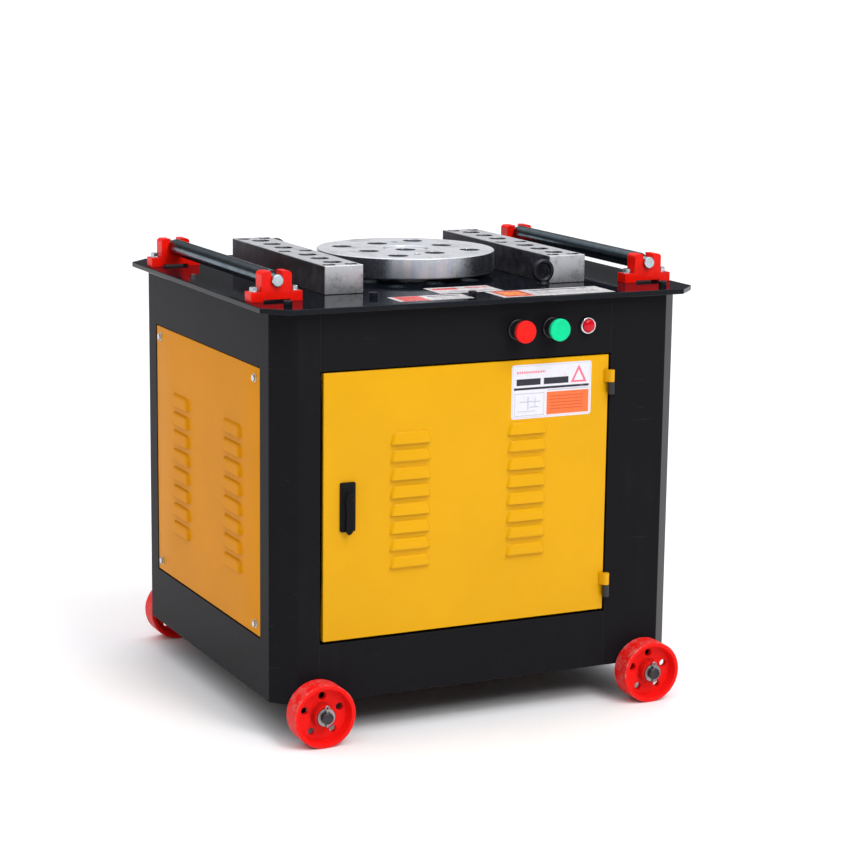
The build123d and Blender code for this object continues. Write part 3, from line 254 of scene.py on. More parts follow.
# %% The recipe for spray paint
def spray_paint(name, colour, roughness, dust=0.25, wear=0.5, peel=0.00004, gloss=0.3, lacquer=0.3,
                scratched=0.5, chip=(0.05, 0.045, 0.04)):
    """Colour = paint, then dust by clouds, then bare metal where edges and a fine noise agree."""
    paint = Finish(name, Specular_IOR_Level=gloss, Coat_Roughness=0.04)
    round_edge = paint.rounded(0.0012)
    edges = paint.edges(round_edge)
    clouds = paint.noise(5.0, 5.0, 0.6)
    streaks = paint.noise(22.0, 4.0, 0.65, (1, 1, 0.12))
    fine = paint.noise(420.0, 3.0, 0.7)
    dusty = paint.rise(clouds * 0.6 + streaks * 0.4, 0.5, 0.72) * dust
    scratches = paint.noise(60.0, 2.0, 0.5, (0.18, 1, 5.0), (0.3, 0, 0.7))
    lines = paint.rise(scratches, 0.70, 0.74) * scratched
    worn = paint.rise(edges * (0.35 + fine), 1.0 - wear * 0.6, 1.15 - wear * 0.4)
    body = paint.mix(paint.rise(clouds, 0.3, 0.75) * 0.35, colour, tuple(c * 0.82 for c in colour))
    body = paint.mix(dusty, body, tuple(c * 0.8 + 0.05 for c in colour))
    body = paint.mix(lines, body, tuple(c * 0.8 + 0.05 for c in colour))
    paint.set("Base Color", paint.mix(worn, body, chip))
    paint.set("Roughness", roughness + dusty * 0.5 + lines * 0.15 + worn * 0.35 + (fine - 0.5) * 0.03)
    paint.set("Coat Weight", (1 - worn) * (1 - dusty) * lacquer)
    ripple = paint.noise(260.0, 2.0, 0.5)
    paint.set("Normal", paint.relief(ripple - worn * 2.0, peel, round_edge))
    finishes[name] = paint.material


spray_paint("black_paint", (0.010, 0.0098, 0.0115), 0.22, dust=0.05, gloss=0.02, lacquer=0.0,
            scratched=0.25)
spray_paint("table_paint", (0.004, 0.0055, 0.0085), 0.07, dust=0.03, wear=0.65, peel=0.000018,
            gloss=0.08, lacquer=0.08)
spray_paint("yellow_paint", (0.69, 0.345, 0.003), 0.25, dust=0.03, wear=0.3, gloss=0.08, lacquer=0.06,
            scratched=0.1)
# orange_paint is the yellow paint made darker and redder: painted shade for the side and rear covers, which
# get less light than the door.
spray_paint("orange_paint", (0.69, 0.262, 0.004), 0.3, dust=0.02, wear=0.3, gloss=0.02, lacquer=0.0,
            scratched=0.15)
spray_paint("hinge_paint", (0.006, 0.006, 0.0075), 0.35, wear=0.8)
print("spray paints:", sorted(finishes))

# %% [markdown]
# ## Red paint on castings and wheels
# The roller brackets are sand castings, so their skin is grainy under thick red enamel.  The wheels
# have the same enamel, and rolling on concrete has rubbed their treads pale.


# %% Cast brackets
def cast_enamel(name, colour):
    """Enamel over a sand-cast skin: a coarse grain, runs in the clouds, dark chips on the edges."""
    paint = Finish(name, Coat_Roughness=0.1, Specular_IOR_Level=0.1)
    round_edge = paint.rounded(0.0018)
    edges = paint.edges(round_edge)
    grain, clouds = paint.noise(340.0, 4.0, 0.6), paint.noise(40.0, 4.0, 0.6)
    chips = paint.rise(edges * 0.45 + paint.noise(150.0, 3.0, 0.7), 0.86, 0.95)
    body = paint.mix(paint.rise(clouds, 0.35, 0.7), colour, tuple(c * 0.85 for c in colour))
    paint.set("Base Color", paint.mix(chips, body, (0.09, 0.05, 0.045)))
    paint.set("Roughness", 0.3 + clouds * 0.12 + chips * 0.3)
    paint.set("Coat Weight", (1 - chips) * 0.1)
    paint.set("Normal", paint.relief(grain - chips, 0.0002, round_edge))
    finishes[name] = paint.material


cast_enamel("red_casting", (0.95, 0.008, 0.002))
print("red_casting: enamel over a sand-cast grain")


# %% Wheels with scuffed treads
def wheel_enamel(name, colour, axle_x, axle_z, radius):
    """As enamel, but the tread, near the full radius from the axle, is scuffed pale in patches.

    All four wheels share it: the offset from the axle is (|x| - axle x, z - axle z).
    """
    paint = Finish(name, Coat_Roughness=0.12, Specular_IOR_Level=0.05)
    round_edge = paint.rounded(0.0015)
    edges = paint.edges(round_edge)
    x, _, z = paint.along()
    across, up = abs(x) - axle_x, z - axle_z
    reach = (across * across + up * up).maths("SQRT", across * across + up * up)
    tread = paint.rise(reach, radius - 0.003, radius - 0.001)
    clouds, grit = paint.noise(45.0, 5.0, 0.7), paint.noise(260.0, 4.0, 0.7)
    scuffed = paint.rise(clouds * 0.6 + grit * 0.4 + tread * 0.2 + edges * 0.12, 0.66, 0.84)
    # Darker in the clouds, and darker still within 34 mm of the axle, most within 18 mm.
    grime = paint.rise(clouds * 0.7 + paint.rise(reach, 0.034, 0.018) * 0.35, 0.5, 0.72)
    body = paint.mix(grime * 0.55, colour, (0.28, 0.012, 0.01))
    body = paint.mix(scuffed * (0.12 + tread * 0.45), body, (0.50, 0.26, 0.24))
    paint.set("Base Color", body)
    paint.set("Roughness", 0.32 + scuffed * 0.4 + grime * 0.15)
    paint.set("Coat Weight", (1 - scuffed) * 0.03)
    paint.set("Normal", paint.relief(grit * scuffed + clouds * 0.4, 0.00025, round_edge))
    finishes[name] = paint.material


wheel_low, wheel_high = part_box("front_right_wheel")
wheel_middle = (wheel_low + wheel_high) / 2
wheel_radius = (wheel_high.z - wheel_low.z) / 2
wheel_enamel("wheel_paint", (0.80, 0.010, 0.008), wheel_middle.x, wheel_middle.z, wheel_radius)
print("wheels stand", round(wheel_middle.x, 3), "m from the middle, radius", round(wheel_radius, 3))

# %% [markdown]
# ## Bare steel
# The disc is turned on a lathe: its top shows fine rings, handling scratches and grey stains, and its
# rim shows short upright marks and bluish upright bands, a painted reflection of the sky.  The bars are
# flat stock: the top and ends are ground bright and the
# long sides keep their dark mill scale.  Rings come from the distance to the axis and marks on the
# rim from the angle round it, so that no picture is needed.


# %% The turned disc
def turned_steel(name, colour):
    """Rings by noise along the radius on top, upright streaks by the angle on the rim with bluish bands as
    a painted sky reflection, and stains.
    """
    steel = Finish(name)
    round_edge = steel.rounded(0.0012)
    edges = steel.edges(round_edge)
    radius = steel.radius()
    top = abs(steel.facing((0, 0, 1)))
    x, y, z = steel.along()
    angle = steel.node("ShaderNodeMath", {"operation": "ARCTAN2"}, [y, x])
    around = steel.node("ShaderNodeCombineXYZ", {}, [angle * 0.175, z * 0.12, radius * 0.05])
    rim = steel.noise(900.0, 3.0, 0.6, place=around)
    painted_reflection_bands = steel.noise(60.0, 3.0, 0.6, place=around)
    rings = steel.noise(1.0, 3.0, 0.7, place=steel.node("ShaderNodeCombineXYZ", {}, [radius * 900, 0, 0]))
    stains = steel.noise(14.0, 6.0, 0.68)
    smears = steel.noise(38.0, 5.0, 0.65, (1, 0.35, 1), (0.2, 0.1, 0))
    nicks = steel.rise(steel.noise(130.0, 2.0, 0.5, (0.12, 1.6, 1), (0.4, 0, 0)), 0.69, 0.73)
    nicks_too = steel.rise(steel.noise(130.0, 2.0, 0.5, (1.4, 0.15, 1), (0, 0.7, 0)), 0.70, 0.74)
    dark = steel.rise(stains * 0.65 + smears * 0.35, 0.46, 0.66)
    body = steel.mix(dark * top, colour, tuple(c * 0.45 for c in colour))
    # Painted reflection: bluish upright bands on the rim stand for the sky mirrored in the round side.
    body = steel.mix((1 - top) * steel.rise(painted_reflection_bands, 0.35, 0.7) * 0.7, body, (0.44, 0.52, 0.64))
    body = steel.mix((nicks + nicks_too) * top * 0.6, body, (0.82, 0.82, 0.8))
    body = steel.mix(steel.rise(stains, 0.66, 0.74) * 0.5, body, (0.16, 0.10, 0.06))
    steel.set("Base Color", steel.mix(edges * 0.5, body, (0.75, 0.77, 0.8)))
    steel.set("Metallic", 1 - top * (0.62 + dark * 0.2))
    steel.set("Roughness", 0.33 + rings * top * 0.1 + dark * 0.14 + (1 - top) * ((rim - 0.5) * 0.2 - 0.05))
    marks = rings * top * 0.5 + rim * (1 - top) + (nicks + nicks_too) * -0.6 * top
    steel.set("Normal", steel.relief(marks, 0.00005, round_edge))
    finishes[name] = steel.material


turned_steel("turned_steel", (0.62, 0.63, 0.65))
print("turned_steel: rings on top, upright marks on the rim")


# %% Flat bars with dark sides
def scaled_bar(name, bright, dark):
    """Where the surface faces left or right the dark scale stays; elsewhere it is ground and worn."""
    steel = Finish(name)
    round_edge = steel.rounded(0.0015)
    edges = steel.edges(round_edge)
    side = steel.rise(abs(steel.facing((1, 0, 0))), 0.6, 0.8)
    clouds, blotch = steel.noise(12.0, 6.0, 0.7), steel.noise(45.0, 5.0, 0.7)
    brushed = steel.noise(700.0, 2.0, 0.5, (1, 0.05, 1))
    nicks = steel.rise(steel.noise(110.0, 3.0, 0.6, (1.5, 0.3, 1)), 0.66, 0.7)
    grime = steel.rise(clouds * 0.6 + blotch * 0.4, 0.47, 0.63)
    ground = steel.mix(grime * 0.75, bright, tuple(c * 0.35 for c in bright))
    ground = steel.mix(nicks * 0.5, ground, (0.8, 0.8, 0.8))
    scale = steel.mix(steel.rise(blotch * 0.6 + clouds * 0.4, 0.42, 0.62), dark, (0.075, 0.07, 0.085))
    scale = steel.mix(edges * 0.6, scale, (0.35, 0.34, 0.34))
    steel.set("Base Color", steel.mix(side, ground, scale))
    top = steel.rise(steel.facing((0, 0, 1)), 0.6, 0.8)
    steel.set("Metallic", 1 - side * 0.6 - top * 0.6)
    steel.set("Roughness", 0.3 + grime * 0.2 + side * 0.14 + blotch * 0.08)
    steel.set("Normal", steel.relief(brushed * (1 - side) + blotch * side, 0.00006, round_edge))
    finishes[name] = steel.material


scaled_bar("bar_steel", (0.56, 0.57, 0.59), (0.012, 0.012, 0.016))
print("bar_steel: ground on top, scale on the sides")


# %% Rollers, plated fasteners and blackened steel
def plain_metal(name, colour, roughness, shade=0.6, grain=300.0, stretch=(1, 1, 1), depth=0.00003,
                metallic=1.0, stain=(0.2, 0.17, 0.14), stained=0.3, edge=0.0008):
    """Metal with cloudy brightness, fine grain along one axis, and stains in the darkest clouds."""
    metal = Finish(name, Metallic=metallic)
    round_edge = metal.rounded(edge)
    edges = metal.edges(round_edge)
    clouds, grains = metal.noise(30.0, 5.0, 0.65), metal.noise(grain, 3.0, 0.6, stretch)
    body = metal.mix(metal.rise(clouds, 0.35, 0.68), colour, tuple(c * shade for c in colour))
    body = metal.mix(metal.rise(clouds * 0.7 + grains * 0.3, 0.6, 0.72) * stained, body, stain)
    metal.set("Base Color", metal.mix(edges * 0.4, body, tuple(min(1, c * 1.5 + 0.05) for c in colour)))
    metal.set("Roughness", roughness + clouds * 0.12 + (grains - 0.5) * 0.12)
    metal.set("Normal", metal.relief(grains, depth, round_edge))
    finishes[name] = metal.material


plain_metal("roller_steel", (0.105, 0.155, 0.185), 0.16, grain=500.0, stretch=(1, 0.06, 1), stained=0.2)
plain_metal("zinc", (0.52, 0.60, 0.64), 0.2, shade=0.8, grain=900.0)
plain_metal("washer_steel", (0.34, 0.34, 0.35), 0.3, stain=(0.05, 0.04, 0.04), stained=0.7)
plain_metal("bright_steel", (0.60, 0.61, 0.62), 0.26, grain=600.0, stretch=(1, 1, 0.15))
plain_metal("black_oxide", (0.022, 0.023, 0.032), 0.24, metallic=0.7, shade=0.5, stain=(0.08, 0.06, 0.05))
plain_metal("axle_steel", (0.055, 0.05, 0.055), 0.38, metallic=0.8, stain=(0.12, 0.06, 0.03), stained=0.6)
plain_metal("chrome", (0.66, 0.68, 0.71), 0.06, shade=0.9, grain=900.0, stained=0.1)
plain_metal("grey_casting", (0.13, 0.16, 0.15), 0.42, grain=220.0, depth=0.0003, metallic=0.0, edge=0.002)
print("metals:", [name for name in finishes if "steel" in name])

# %% [markdown]
# ## Plastics, rubber and film
# Buttons and collars are moulded, with a fine spark-eroded grain; the lamp's lens is clear red over
# a lit inside; belts are cloth-backed rubber; labels are glossy film.


# %% Moulded plastics
def moulded(name, colour, roughness, grain=800.0, depth=0.00003, **constants):
    """Even colour with a faint cloudiness, fingermarks in the roughness and a fine moulded grain."""
    plastic = Finish(name, **constants)
    clouds, grains = plastic.noise(60.0, 4.0, 0.6), plastic.noise(grain, 2.0, 0.5)
    plastic.set("Base Color", plastic.mix(plastic.rise(clouds, 0.35, 0.7) * 0.3, colour,
                                          tuple(c * 0.75 for c in colour)))
    plastic.set("Roughness", roughness + clouds * 0.15)
    plastic.set("Normal", plastic.relief(grains, depth, plastic.rounded(0.0006)))
    finishes[name] = plastic.material


moulded("red_plastic", (0.76, 0.011, 0.008), 0.3, Specular_IOR_Level=0.12)
moulded("green_plastic", (0.002, 0.62, 0.27), 0.3, Specular_IOR_Level=0.12)
moulded("black_plastic", (0.011, 0.011, 0.013), 0.32)
moulded("belt_rubber", (0.018, 0.018, 0.019), 0.7, grain=500.0, depth=0.0001)
moulded("red_lens", (0.50, 0.001, 0.010), 0.06, depth=0.00001, Emission_Color=(0.9, 0.01, 0.03, 1),
        Emission_Strength=0.06, Coat_Weight=0.25, Specular_IOR_Level=0.12)
print(len(finishes), "finishes so far")

# %% [markdown]
# ## Printed labels
# A label is glossy film with a screen print.  The print is worked out on the label itself: its place
# becomes two shares, u to the right and v down, from 0 to 1, and each printed shape is a product of
# soft steps in u and v.  Every shape here is a plain block, bar, line or triangle.


# %% Film with printed shapes
class Film(Finish):
    """Glossy film between two corners of one face.  `rises` is the axis that runs up the print."""

    def __init__(self, name, low, high, rises, colour):
        super().__init__(name, Specular_IOR_Level=0.3)
        x, y, z = self.along()
        up = {"z": z, "y": y}[rises]
        up_low, up_high = getattr(low, rises), getattr(high, rises)
        self.u = (x - low.x) / (high.x - low.x)
        self.v = (up_high - up) / (up_high - up_low)
        self.print = self.mix(self.rise(self.noise(60.0, 4.0, 0.6), 0.35, 0.7) * 0.3, colour,
                              tuple(c * 0.88 for c in colour))

    def block(self, left, top, right, bottom, soft=0.004):
        """1 inside the rectangle given by shares of the label's width and height."""
        return self.inside(self.u, left, right, soft) * self.inside(self.v, top, bottom, soft)

    def ink(self, where, colour):
        """Print a colour where a mask is 1."""
        self.print = self.mix(where, self.print, colour)

    def finish(self, roughness):
        """Put the print on the surface, with fine grain and handling marks."""
        grain, marks = self.noise(900.0, 2.0, 0.5), self.noise(50.0, 4.0, 0.7)
        self.set("Base Color", self.mix(self.rise(marks, 0.62, 0.72) * 0.25, self.print, (0.4, 0.38, 0.36)))
        self.set("Roughness", roughness + self.rise(marks, 0.4, 0.7) * 0.15)
        self.set("Normal", self.relief(grain, 0.00001))
        finishes[self.name] = self.material


label_low, label_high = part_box("safety_label")
white, pink, ink, orange = (0.70, 0.69, 0.74), (0.80, 0.16, 0.22), (0.02, 0.02, 0.03), (0.82, 0.15, 0.035)
film = Film("label_white", label_low, label_high, "z", white)
frame_line = film.block(0.012, 0.02, 0.988, 0.98) - film.block(0.02, 0.034, 0.98, 0.966)
film.ink(frame_line * 0.5, (0.45, 0.42, 0.5))
film.ink(film.block(0.06, 0.125, 0.42, 0.165) * film.inside(film.u.beat(34), 0.15, 0.8),
         pink)
film.ink(film.block(0.06, 0.265, 0.36, 0.385) + film.block(0.40, 0.265, 0.71, 0.385), ink)
for inset, colour in ((0.0, pink), (0.022, white)):
    slope = abs(film.u - 0.84) * 3.2 + 0.06 + inset * 4.2
    film.ink(film.rise(film.v - slope, -0.004, 0.004) * film.inside(film.v, 0, 0.385 - inset * 1.6), colour)
film.ink(film.block(0.03, 0.425, 0.97, 0.468), ink)
film.ink(film.block(0.45, 0.485, 0.97, 0.505) * 0.6, (0.3, 0.3, 0.32))
film.ink(film.block(0.44, 0.53, 0.97, 0.95), orange)
film.ink(film.block(0.48, 0.60, 0.90, 0.90) * film.inside(film.v.beat(17), 0.3, 0.6, 0.06) * 0.7,
         (0.45, 0.05, 0.02))
drawing_frame = film.block(0.04, 0.53, 0.41, 0.95) - film.block(0.047, 0.545, 0.403, 0.935)
film.ink(drawing_frame * 0.6, (0.3, 0.32, 0.4))
for left, top, right, bottom in ((0.10, 0.68, 0.36, 0.70), (0.20, 0.60, 0.215, 0.84),
                                 (0.23, 0.78, 0.34, 0.80), (0.29, 0.62, 0.30, 0.80),
                                 (0.08, 0.86, 0.30, 0.875)):
    film.ink(film.block(left, top, right, bottom) * 0.7, (0.35, 0.38, 0.46))
film.finish(0.22)
print("the door's label is", round(label_high.x - label_low.x, 3), "m wide")

# %% Stickers on the table
table_label_low, table_label_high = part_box("table_labels")
film = Film("sticker_film", table_label_low, table_label_high, "y", (0.62, 0.60, 0.60))
rows = film.inside(film.v.beat(24), 0.3, 0.62, 0.08)
red, dark = (0.66, 0.03, 0.02), (0.06, 0.06, 0.09)
for left, top, right, bottom, colour, lined in (
        (0.02, 0.55, 0.14, 0.90, red, 0), (0.17, 0.60, 0.32, 0.66, dark, 0),
        (0.17, 0.70, 0.33, 0.88, dark, 1), (0.28, 0.06, 0.40, 0.20, red, 0),
        (0.44, 0.08, 0.55, 0.14, red, 0), (0.28, 0.28, 0.56, 0.42, dark, 1),
        (0.485, 0.52, 0.62, 0.96, red, 0), (0.50, 0.60, 0.60, 0.88, (0.85, 0.30, 0.08), 0),
        (0.66, 0.56, 0.94, 0.62, dark, 0), (0.66, 0.68, 0.95, 0.90, dark, 1)):
    where = film.block(left, top, right, bottom)
    film.ink(where * rows * 0.7 if lined else where * 0.9, colour)
film.finish(0.2)
print(len(finishes), "finishes in all")

# %% Give each part its finish
own_finish = {"table_plate": "table_paint", "left_hole_bar": "bar_steel", "right_hole_bar": "bar_steel",
              "work_disc": "turned_steel", "spindle": "turned_steel", "roller_brackets": "red_casting",
              "table_labels": "sticker_film", "axles": "axle_steel", "axle_retainers": "washer_steel",
              "frame_hinges": "hinge_paint", "latch_cam": "zinc"}
own_finish.update({name: "wheel_paint" for name in nodes if name.endswith("_wheel")})
slot_finish = {"cast_iron": "grey_casting"}
for name, part in nodes.items():
    finish = own_finish.get(name) or slot_finish.get(slot_of_node[name], slot_of_node[name])
    for slot in part.material_slots:
        slot.material = finishes[finish]
print("finishes given to", len(nodes), "parts")

# %% [markdown]
# ## Surfaces from grids of points
# Every new piece is a grid of points worked out as whole arrays, and each cell of the grid becomes
# one quad.  A pressed sheet, a turned button and a latch handle differ only in the grid's formula.


# %% From a grid of points to a piece
def surface(name, points, body, finish, wrap=False, keep=None, replaces=()):
    """A mesh from a grid of points (rows, columns, 3): each cell is one quad.

    wrap joins the last row to the first.  keep is a mask of the cells that stay.
    """
    rows, columns = points.shape[:2]
    index = np.arange(rows * columns).reshape(rows, columns)
    if wrap:
        index = np.vstack([index, index[:1]])
    quads = np.stack([index[:-1, :-1], index[1:, :-1], index[1:, 1:], index[:-1, 1:]], axis=-1)
    quads = quads[keep] if keep is not None else quads.reshape(-1, 4)
    mesh = bpy.data.meshes.new(name)
    mesh.from_pydata(points.reshape(-1, 3).tolist(), [], quads.reshape(-1, 4).tolist())
    mesh.polygons.foreach_set("use_smooth", np.ones(len(mesh.polygons), bool))
    mesh.materials.append(finishes[finish])
    piece = bpy.data.objects.new(name, mesh)
    bpy.context.scene.collection.objects.link(piece)
    if body:
        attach(piece, body)
    if replaces:
        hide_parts(*replaces)
    return piece


def merged(piece, distance=1e-6):
    """Join points that coincide, as at a pole or a seam, and drop faces that have no area."""
    shape = bmesh.new()
    shape.from_mesh(piece.data)
    bmesh.ops.remove_doubles(shape, verts=shape.verts, dist=distance)
    bmesh.ops.dissolve_degenerate(shape, edges=shape.edges, dist=distance)
    bmesh.ops.recalc_face_normals(shape, faces=shape.faces)
    shape.to_mesh(piece.data)
    shape.free()
    return piece


def joined(name, parts):
    """Several pieces made one mesh, with the first one's body, slot and finish."""
    shape = bmesh.new()
    for part in parts:
        shape.from_mesh(part.data)
    shape.to_mesh(parts[0].data)
    shape.free()
    parts[0].name = name
    for part in parts[1:]:
        bpy.data.objects.remove(part)
    return parts[0]


def thicken(piece, thickness):
    """Give a sheet its thickness, inwards from its outer face."""
    wall = piece.modifiers.new("thickness", "SOLIDIFY")
    wall.thickness, wall.offset, wall.use_even_offset = thickness, -1, False
    return piece


print("a grid becomes a piece with surface()")

# %% [markdown]
# ## Pressed sheet: the door and the covers
# A door is one sheet with folded edges, and its louvres are cut along one line and pressed out, so
# each is a shallow scoop: a rounded shoulder at the top and the slanted ends, a flat face that
# leans outwards, and an open mouth below.  A sheet is a height over a grid, so the louvre is a
# formula for the height, and the mouth is a row of cells that is left out.


# %% The louvre's height
louvre_shoulder, louvre_slant = 0.0055, 0.006


def louvre_height(across, below_top, half_width, drop, rise, shoulder=louvre_shoulder,
                  slant=louvre_slant):
    """rise * (0.74 + 0.26 * share of the way down) * quarter circle of the shoulder.

    The shoulder's own share t runs from 0 at the outline to 1 one `shoulder` inside it; its
    height is sqrt(1 - (1 - t)^2).  Corners are round, because t falls with the distance to both sides.
    """
    down = np.clip(below_top / drop, 0, 1)
    inside = half_width - slant * (1 - down) - np.abs(across)
    lack = np.hypot(np.clip(1 - below_top / shoulder, 0, None), np.clip(1 - inside / shoulder, 0, None))
    share = np.clip(1 - lack, 0, 1)
    lean = 0.74 + 0.26 * down
    return np.where((below_top >= 0) & (below_top <= drop), rise * lean * np.sqrt(1 - (1 - share) ** 2), 0)


def folded(length, corner, depth, inner):
    """Stations across a folded sheet: its edges' paths, then the stations on its flat."""
    arc = corner * np.pi / 2 * np.array([1, 0.75, 0.5, 0.25])
    path = np.concatenate([[arc[0] + depth] if depth else [], arc])
    flat = length / 2 - corner
    inner = inner[(inner > -flat + 0.0005) & (inner < flat - 0.0005)]
    return np.concatenate([-flat - path, [-flat], inner, [flat], flat + path[::-1]]), flat


def pressed_sheet(size, corner, depth, columns, rows, half_width, drop, rise):
    """The grid of a folded sheet with louvres: x across, z up, y outwards negative.

    Beyond the flat part a point is d past the fold: it turns round the corner's arc, then runs
    straight back.  d is the larger of the two overshoots and its direction that of both together.
    Returns the points and the mask of cells that stay.
    """
    across = np.linspace(-1, 1, 25)
    across = np.sign(across) * (1 - (1 - np.abs(across)) ** 1.6) * half_width
    guard = half_width + np.array([0.0008, 0.002])
    lines_x = np.concatenate([np.concatenate([c - guard[::-1], c + across, c + guard]) for c in columns])
    above = np.array([-0.0024, -0.0012, 0])
    bend = louvre_shoulder * np.array([0.06, 0.2, 0.42, 0.7, 1])
    face = np.linspace(louvre_shoulder + 0.002, drop - 0.001, 5)
    below = drop + np.array([0, 0.00005, 0.0006, 0.0018])
    down = np.concatenate([above, bend, face, below])
    lines_z = np.sort(np.concatenate([top - down for top in rows]))
    s, flat_x = folded(size[0], corner, depth, lines_x)
    t, flat_z = folded(size[1], corner, depth, lines_z)
    s, t = np.meshgrid(s, t, indexing="ij")
    over_x = np.sign(s) * np.clip(np.abs(s) - flat_x, 0, None)
    over_z = np.sign(t) * np.clip(np.abs(t) - flat_z, 0, None)
    past = np.maximum(np.abs(over_x), np.abs(over_z))
    length = np.hypot(over_x, over_z) + 1e-12
    angle = np.minimum(past / corner, np.pi / 2)
    outwards = corner * np.sin(angle)
    back = corner * (1 - np.cos(angle)) + np.clip(past - corner * np.pi / 2, 0, None)
    height = np.zeros_like(s)
    for column in columns:
        for top in rows:
            height += louvre_height(s - column, top - t, half_width, drop, rise)
    x = np.clip(s, -flat_x, flat_x) + over_x / length * outwards
    z = np.clip(t, -flat_z, flat_z) + over_z / length * outwards
    step = np.abs(np.diff(height, axis=1))
    narrow = np.abs(np.diff(t, axis=1)) < 0.0002
    mouth = narrow & (step > rise * 0.25)
    keep = ~(mouth[:-1] | mouth[1:])
    return np.stack([x, back - height, z], axis=-1), keep


def placed(points, shift, turn=0.0):
    """The grid moved by `shift` and then turned by `turn` degrees about the upright axis."""
    moved = points + np.array(shift)
    a = np.radians(turn)
    x, y, z = moved[..., 0], moved[..., 1], moved[..., 2]
    return np.stack([x * np.cos(a) - y * np.sin(a), x * np.sin(a) + y * np.cos(a), z], axis=-1)


print("each louvre has a shoulder of", louvre_shoulder, "m")

# %% Where the louvres are
louvre_count, louvre_drop, louvre_rise = 8, 0.023, 0.006
sheet_thickness = 0.0018


def louvre_tops(pitch, middle):
    """Upper lines of a column of louvres whose centres stand `pitch` apart about `middle`."""
    return middle + (np.arange(louvre_count) - (louvre_count - 1) / 2) * pitch + louvre_drop / 2


table_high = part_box("table_plate")[1]
door_low, door_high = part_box("door")
latch_low, latch_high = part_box("latch_base")
door_face = label_high.y        # the label lies on the door
hinge_gap = 0.00175
pin_low, pin_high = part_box("frame_hinges")
knuckle_radius = 0.0065
hinge_x, hinge_y = pin_low.x + knuckle_radius, pin_low.y + knuckle_radius
door_right = hinge_x - hinge_gap
door_size = (door_right - door_low.x, door_high.z - door_low.z)
door_middle = ((door_right + door_low.x) / 2, (door_high.z + door_low.z) / 2)
print("the door is", [round(v, 4) for v in door_size], "m")

# %% The door
fold_radius, fold_depth = 0.0016, 0.0125
door_pitch, door_column, door_louvre_half = 0.0334, 0.1205, 0.041
louvres_below_table = 0.367     # table's top face down to the middle of the columns
grid, keep = pressed_sheet(door_size, fold_radius, fold_depth, (-door_column, door_column),
                           louvre_tops(door_pitch, table_high.z - louvres_below_table - door_middle[1]),
                           door_louvre_half, louvre_drop, louvre_rise)
door_skin = thicken(surface("door_skin", placed(grid, (door_middle[0], door_face, door_middle[1])),
                            "door_panel", "yellow_paint", keep=keep, replaces=["door"]),
                    sheet_thickness)
print(door_skin.name, "is a grid of", grid.shape[:2])

# %% The covers
cover_pitch, cover_drop = 0.037, 0.011
cover_edge, cover_column, cover_louvre_half = 0.0008, 0.14, 0.047
for node, turn, side in (("left_cover", -90, "x"), ("right_cover", 90, "x"), ("rear_cover", 180, "y")):
    low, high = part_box(node)
    width = high.y - low.y if side == "x" else high.x - low.x
    face = {"left_cover": -low.x, "right_cover": high.x, "rear_cover": high.y}[node] - louvre_rise
    height, middle = high.z - low.z, (high.z + low.z) / 2
    grid, keep = pressed_sheet((width, height), cover_edge, 0, (-cover_column, cover_column),
                               louvre_tops(cover_pitch, -cover_drop), cover_louvre_half, louvre_drop,
                               louvre_rise)
    # The covers take orange_paint, the door's yellow with painted shade in its colour.
    thicken(surface(node + "_skin", placed(grid, (0, -face, middle), turn), "cabinet", "orange_paint",
                    keep=keep, replaces=[node]), sheet_thickness)
    print(node, "skin", round(width, 3), "by", round(height, 3), "m")

# %% [markdown]
# ## Turned pieces
# Push buttons, their collars, the lamp and the boss of the latch handle are bodies of revolution.
# Each is a short list of (radius, height) corners; every corner is rounded a little by a quadratic
# curve, as a tool or a mould leaves it, and the outline is then carried round its axis.


# %% Outlines with rounded corners, carried round an axis
def softened(corners, radius, steps=4):
    """Replace each corner by a curve: (1-t)^2 before + 2t(1-t) corner + t^2 after, t from 0 to 1."""
    corners = np.array(corners, float)
    out = [corners[:1]]
    t = np.linspace(0, 1, steps + 1)[:, None]
    for before, corner, after in zip(corners[:-2], corners[1:-1], corners[2:]):
        to, away = before - corner, after - corner
        reach = min(radius, np.hypot(*to) * 0.45, np.hypot(*away) * 0.45)
        start, end = corner + to / np.hypot(*to) * reach, corner + away / np.hypot(*away) * reach
        out.append((1 - t) ** 2 * start + 2 * t * (1 - t) * corner + t ** 2 * end)
    return np.vstack(out + [corners[-1:]])


def turned(corners, place, axis, radius=0.0008, count=64, ripple=None):
    """Grid of a turned piece: place + r (cos a, sin a) across + h along the axis.

    ripple(a, r) may change the radius with the angle, as for a knurled edge.
    """
    outline = softened(corners, radius) if radius else np.array(corners, float)
    a = np.linspace(0, 2 * np.pi, count, endpoint=False)[:, None]
    axis = np.array(axis, float)
    side = np.array([1.0, 0, 0]) if abs(axis[0]) < 0.5 else np.array([0, 1.0, 0])
    other = np.cross(axis, side)
    r, h = outline[None, :, 0], outline[None, :, 1]
    r = np.broadcast_to(r, (count, r.shape[1])) if ripple is None else ripple(a, r)
    across = np.cos(a)[..., None] * side + np.sin(a)[..., None] * other
    return np.array(place) + r[..., None] * across + (h[..., None] * axis)


# %% Push buttons and their collars
stem_radius, stem_hole = 0.009, 0.00905
front_y = -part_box("front_top_panel")[0].y
collar_low, collar_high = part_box("button_collars")
for node, finish in (("stop_button", "red_plastic"), ("start_button", "green_plastic")):
    low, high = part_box(node)
    x, z, reach = (low.x + high.x) / 2, (low.z + high.z) / 2, (high.x - low.x) / 2
    cap = [(0, 0.0006), (0.0055, 0.0006), (0.0075, 0.0014), (0.0125, 0.0011), (0.0145, 0.0004),
           (reach - 0.0012, 0.0001), (reach, 0.0012), (reach, 0.008), (stem_radius, 0.008),
           (stem_radius, high.y - low.y), (0, high.y - low.y)]
    merged(surface(node + "_cap", turned(cap, (x, low.y, z), (0, 1, 0), 0.0012), "stop" if "stop" in node
                   else "start", finish, wrap=True, replaces=[node]))
    print(node, "reaches", round(low.y, 4))

